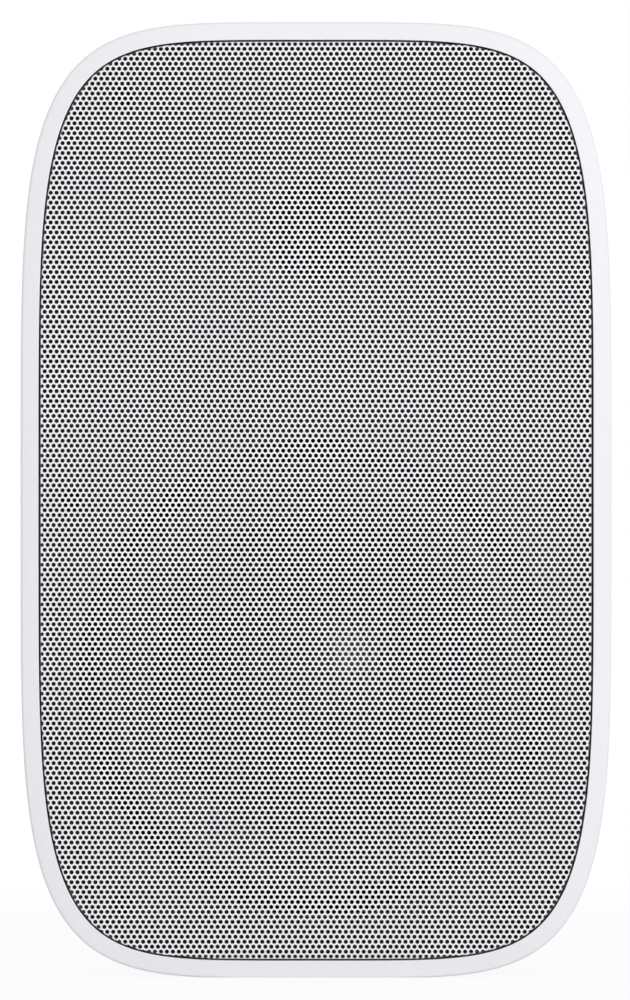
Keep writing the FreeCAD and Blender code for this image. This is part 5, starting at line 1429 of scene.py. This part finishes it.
@dataclass
class RearPanel:
    """What is printed on the rear panel and its controls."""

    face_y: float
    controls_z: float
    control_sides: Mapping[str, float]
    control_radii: Mapping[str, float]
    ink: float = 0.05 * MM
    mark_width: float = 0.45 * MM
    mark_length: float = 1.7 * MM
    mark_gap: float = 1.4 * MM
    mark_count: int = 11
    sweep: float = math.radians(300)
    text_size: float = 3.4 * MM
    pointer_width: float = 0.9 * MM
    pointer_sink: float = 0.5 * MM
    switch_bar: float = 3.0 * MM
    switch_ring: Pair = (1.0 * MM, 1.5 * MM)
    switch_segments: int = 32
    probe_gap: float = 10 * MM
    pointer_start: float = 0.15
    pointer_length: float = 0.62
    scale_sign_gap: float = 0.6
    scale_sign_drop: float = 0.2
    sign_gap: float = 0.8
    letter_steps: int = 3

    def _bar(self, name: str, width: float, length: float) -> bpy.types.Mesh:
        """A thin inked bar that stands on its foot at the origin and faces the back.

        Args:
            name: The mesh's name.
            width: Its width.
            length: Its height.

        Returns:
            The mesh.
        """
        half = width / 2
        corners = [(-half, 0.0), (half, 0.0), (half, length), (-half, length)]
        rings = [[Vector((x, y, z)) for x, z in corners] for y in (0.0, self.ink)]
        return loft(name, rings, capped=True)

    def _scale_tree(self) -> GeometryTree:
        """The tree that sets marks on an arc round a control."""
        tree = GeometryTree("control_scale", {
            "Int": ("Count",),
            "Float": ("Sweep", "Radius"),
            "Vector": ("Centre",),
            "Object": ("Mark",),
        })
        given = tree.given
        index = tree.node("GeometryNodeInputIndex")["Index"]
        turn = given["Sweep"] * (index / (given["Count"] - 1) - 0.5)
        inputs = {"X": turn.sine() * given["Radius"], "Z": turn.cosine() * given["Radius"]}
        reach = tree.node("ShaderNodeCombineXYZ", None, inputs)["Vector"]
        spot = tree.vector("ADD", given["Centre"], reach)["Vector"]
        points = tree.node("GeometryNodePoints", None, {"Count": given["Count"], "Position": spot})["Points"]
        euler = tree.node("ShaderNodeCombineXYZ", None, {"Y": turn})["Vector"]
        spin = tree.node("FunctionNodeEulerToRotation", None, {"Euler": euler})["Rotation"]
        tree.close(tree.node("GeometryNodeInstanceOnPoints", None, {
            "Points": points,
            "Instance": tree.shape("Mark"),
            "Rotation": spin,
        })["Instances"])
        return tree

    def _build_scales(self) -> None:
        """Prints a scale of marks round each control."""
        tree = self._scale_tree()
        mark = linked("scale_mark", self._bar("scale_mark", self.mark_width, self.mark_length))
        for control, side in self.control_sides.items():
            name = f"{control}_scale"
            mesh = tree.run(name, "ring_white", {
                "Count": self.mark_count,
                "Sweep": self.sweep,
                "Radius": self.control_radii[control] + self.mark_gap,
                "Centre": (side, self.face_y, self.controls_z),
                "Mark": mark,
            })
            add_piece(name, mesh, "ring_white")
        discard(mark)

    def _build_pointers(self) -> None:
        """Fills the groove in each knob's face with white."""
        for control, side in self.control_sides.items():
            radius = self.control_radii[control]
            foot_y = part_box(f"{control}_knob")[1].y - self.pointer_sink
            foot_z = self.controls_z + self.pointer_start * radius
            bar = self._bar(f"{control}_pointer", self.pointer_width, self.pointer_length * radius)
            bar.transform(Matrix.Translation((side, foot_y, foot_z)))
            add_piece(f"{control}_pointer", bar, "ring_white", f"{control}_control")

    def _text(self, words: str, x: float, z: float, name: str) -> None:
        """Prints a sign on the panel.

        Args:
            words: What it says.
            x: Side offset of its middle.
            z: Height of its middle.
            name: The piece's name.
        """
        curve = bpy.data.curves.new(name, "FONT")
        curve.body = words
        curve.size = self.text_size
        curve.align_x = "CENTER"
        curve.align_y = "CENTER"
        curve.extrude = self.ink / 2
        curve.resolution_u = self.letter_steps
        source = linked(name, curve)
        mesh = plain_mesh(source, name)
        discard(source)
        mesh.transform(rear_view(x, self.face_y + self.ink / 2, z))
        add_piece(name, mesh, "ring_white")

    def _build_signs(self) -> None:
        """Prints the end marks of the scales and the signs of sockets and terminals."""
        drop = math.cos(self.sweep / 2)
        swing = math.sin(self.sweep / 2)
        for control, side in self.control_sides.items():
            reach = self.control_radii[control] + self.mark_gap + self.mark_length
            reach += self.scale_sign_gap * self.text_size
            low_sign, high_sign = ("0", "10") if control == "volume" else ("-", "+")
            base = self.controls_z + reach * drop - self.scale_sign_drop * self.text_size
            self._text(low_sign, side + reach * swing, base, f"{control}_low_sign")
            self._text(high_sign, side - reach * swing, base, f"{control}_high_sign")
        gap = self.sign_gap * self.text_size
        for socket, sign in (("left", "L"), ("right", "R")):
            ring = f"{socket}_input_ring"
            self._text(sign, middle_of(ring).x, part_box(ring)[1].z + gap, f"{socket}_sign")
        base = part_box("terminal_housing")[0].z - gap
        for lever, sign in (("red", "+"), ("black", "-")):
            self._text(sign, middle_of(f"{lever}_terminal_lever").x, base, f"{lever}_terminal_sign")

    def _build_switch_signs(self) -> None:
        """Prints a bar and a ring on the two ends of the rocker."""
        rocker = frame["nodes"]["switch_rocker"].data
        tree = BVHTree.FromPolygons([v.co for v in rocker.vertices], [p.vertices for p in rocker.polygons])
        low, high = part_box("switch_rocker")
        middle = (low + high) / 2
        quarter = (high.z - low.z) / 4
        inner, outer = self.switch_ring
        profile = [(inner, 0.0), (outer, 0.0), (outer, self.ink), (inner, self.ink)]
        ring = turned("switch_off_sign", profile, 0.0, self.switch_segments, looped=True)
        bar = self._bar("switch_on_sign", self.mark_width, self.switch_bar)
        bar.transform(Matrix.Translation((0.0, 0.0, -self.switch_bar / 2)))
        for mesh, z in ((bar, middle.z + quarter), (ring, middle.z - quarter)):
            probe = Vector((middle.x, high.y + self.probe_gap, z))
            spot, normal, _, _ = tree.ray_cast(probe, Vector((0, -1, 0)))
            lean = Vector((0, 1, 0)).rotation_difference(normal).to_matrix().to_4x4()
            mesh.transform(Matrix.Translation(spot) @ lean)
            add_piece(mesh.name, mesh, "ring_white", ROCKER_BODY)

    def build(self) -> None:
        """Prints everything on the panel and its controls."""
        self._build_scales()
        self._build_pointers()
        self._build_signs()
        self._build_switch_signs()


@dataclass
class Studio:
    """White surroundings with a pale floor and soft lamps."""

    aim: Vector
    floor_size: float = 8.0
    floor_drop: float = 0.2 * MM
    floor_colour: float = 0.86
    floor_white: float = 0.93
    fade_start: float = 0.25
    fade_end: float = 0.75
    ambient: float = 0.535
    key_power: float = 36.0
    key_size: float = 1.05
    key_offset: tuple[float, float, float] = (1.1, -2.55, 0.7)
    fill_power: float = 8.5
    fill_size: float = 1.4
    fill_offset: tuple[float, float, float] = (-1.3, 1.2, 1.0)

    def _direct_ray(self, bench: NodeBench) -> Signal:
        """One for rays from the camera, a mirror or a lens, else zero."""
        rays = bench.node("ShaderNodeLightPath")
        return rays["Is Camera Ray"].larger(rays["Is Glossy Ray"]).larger(rays["Is Transmission Ray"])

    def _world(self) -> None:
        """White to the eye and in reflections, and a plain even light on the part."""
        world = bpy.data.worlds.new("studio")
        bench = empty_bench(world)
        seen = bench.node("ShaderNodeBackground", None, {"Color": WHITE, "Strength": 1.0})[0]
        light = bench.node("ShaderNodeBackground", None, {"Color": WHITE, "Strength": self.ambient})[0]
        mixed = bench.node("ShaderNodeMixShader", None, {0: self._direct_ray(bench), 1: light, 2: seen})[0]
        bench.node("ShaderNodeOutputWorld", None, {"Surface": mixed})
        bpy.context.scene.world = world

    def _floor(self) -> None:
        """A pale floor that shows as near white and keeps the part's shadow."""
        material = bpy.data.materials.new("floor")
        bench = empty_bench(material)
        grey = (self.floor_colour,) * 3 + (1,)
        matte = bench.node("ShaderNodeBsdfDiffuse", None, {"Color": grey})[0]
        white = bench.node("ShaderNodeEmission", None, {"Color": WHITE, "Strength": 1.0})[0]
        away = bench.vector("LENGTH", bench.node("ShaderNodeTexCoord")["Object"])["Value"]
        fade = bench.ramp(away, self.fade_start, self.fade_end, low=self.floor_white)
        share = self._direct_ray(bench) * fade
        mixed = bench.node("ShaderNodeMixShader", None, {0: share, 1: matte, 2: white})[0]
        bench.node("ShaderNodeOutputMaterial", None, {"Surface": mixed})
        half = self.floor_size / 2
        mesh = bpy.data.meshes.new("floor")
        corners = [(-half, -half), (half, -half), (half, half), (-half, half)]
        mesh.from_pydata([(x, y, -self.floor_drop) for x, y in corners], [], [(0, 1, 2, 3)])
        mesh.materials.append(material)
        linked("floor", mesh)

    def _lamp(self, name: str, power: float, size: float, offset: Sequence[float]) -> None:
        """Hangs a square lamp that looks at the part.

        Args:
            name: The lamp's name.
            power: Its power in watts.
            size: Length of its side.
            offset: Its place from the aim.
        """
        lamp = bpy.data.lights.new(name, "AREA")
        lamp.energy = power
        lamp.size = size
        holder = linked(name, lamp)
        holder.location = self.aim + Vector(offset)
        holder.rotation_euler = (-Vector(offset)).to_track_quat("-Z", "Y").to_euler()

    def build(self) -> None:
        """Sets up the surroundings."""
        self._world()
        self._floor()
        self._lamp("key", self.key_power, self.key_size, self.key_offset)
        self._lamp("fill", self.fill_power, self.fill_size, self.fill_offset)
        bpy.context.scene.view_settings.view_transform = "Standard"


@dataclass
class PhotoCamera:
    """A long lens straight in front, framed as in the photograph."""

    outline: Outline
    widest_y: float
    distance: float = 3.0
    sensor: float = 36.0
    clip_end: float = 100.0
    image_width: int = 630
    image_height: int = 1000
    outline_middle: Pair = (316.01, 500.26)
    outline_pixels: float = 956.0

    def build(self) -> None:
        """Makes the camera and gives it to the scene."""
        per_pixel = 2 * self.outline.half_height / self.outline_pixels
        lens = bpy.data.cameras.new("photo_camera")
        lens.sensor_width = self.sensor
        lens.lens = self.sensor * self.distance / (per_pixel * self.image_height)
        lens.clip_end = self.clip_end
        camera = linked("photo_camera", lens)
        side = (self.image_width / 2 - self.outline_middle[0]) * per_pixel
        rise = (self.outline_middle[1] - self.image_height / 2) * per_pixel
        camera.location = (side, self.widest_y - self.distance, self.outline.centre_z + rise)
        camera.rotation_euler = (QUARTER_TURN, 0.0, 0.0)
        bpy.context.scene.camera = camera


def build_cabinet(outline: Outline) -> None:
    """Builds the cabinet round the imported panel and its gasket.

    Args:
        outline: The front outline.
    """
    low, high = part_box("cabinet_shell")
    panel_low, panel_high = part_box("amp_panel")
    size = (panel_high - panel_low) / 2
    corner = 10.0 * MM
    panel = RoundedPanel(size.x, size.z, corner, (panel_low.z + panel_high.z) / 2)
    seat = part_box("amp_gasket")[0].y
    Cabinet(outline, low.y, high.y - low.y, panel, seat).build()


def build_grille(outline: Outline) -> None:
    """Builds the grille in its pocket.

    Args:
        outline: The front outline.
    """
    low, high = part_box("grille")
    edge = outline.half_width - half_width_of("grille")
    Grille(outline, low.y, high.y, edge).build()


def build_screws(outline: Outline) -> None:
    """Builds the screws of the baffle and the rear panel.

    Args:
        outline: The front outline.
    """
    head = 3.7 * MM
    corner_inset = 34.0 * MM
    low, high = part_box("baffle_screws")
    side = half_width_of("baffle_screws") - head
    corner_x = outline.half_width - corner_inset
    corner_z = (high.z - low.z) / 2 - head
    middle = outline.centre_z
    places = [(x, middle + z) for x in (-corner_x, corner_x) for z in (-corner_z, corner_z)]
    places += [(-side, middle), (side, middle)]
    ScrewSet("baffle_screw_heads", "baffle_screws", places, Facing.FRONT, head_radius=head,
             head_height=2.4 * MM, shank_radius=1.9 * MM, seed=3).build()
    head = 2.4 * MM
    low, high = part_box("amp_screws")
    sides = (low.x + head, 0.0, high.x - head)
    heights = (low.z + head, (low.z + high.z) / 2, high.z - head)
    places = [(x, z) for x in sides for z in heights if x or z != heights[1]]
    ScrewSet("panel_screw_heads", "amp_screws", places, Facing.BACK, head_radius=head,
             head_height=1.5 * MM, shank_radius=1.4 * MM, seed=7).build()


def build_rear_panel() -> None:
    """Prints the rear panel round its packed controls."""
    controls = ("volume", "bass", "treble")
    sides = {control: middle_of(f"{control}_knob").x for control in controls}
    radii = {control: half_width_of(f"{control}_knob") for control in controls}
    RearPanel(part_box("amp_panel")[1].y, middle_of("volume_knob").z, sides, radii).build()


def main() -> None:
    """Builds the scene in order."""
    logging.basicConfig(level=logging.INFO, format="%(message)s")
    outline = front_outline()
    front_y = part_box("cabinet_shell")[0].y
    PALETTE.dress_solids()
    build_cabinet(outline)
    build_grille(outline)
    Woofer(middle_of("woofer_cone").z).build()
    Tweeter(middle_of("tweeter_coil").z).build()
    build_screws(outline)
    build_rear_panel()
    Studio(Vector((0.0, 0.0, outline.centre_z))).build()
    PhotoCamera(outline, front_y + Cabinet.bevel_depth + Cabinet.edge_round).build()


if __name__ == "__main__":
    main()
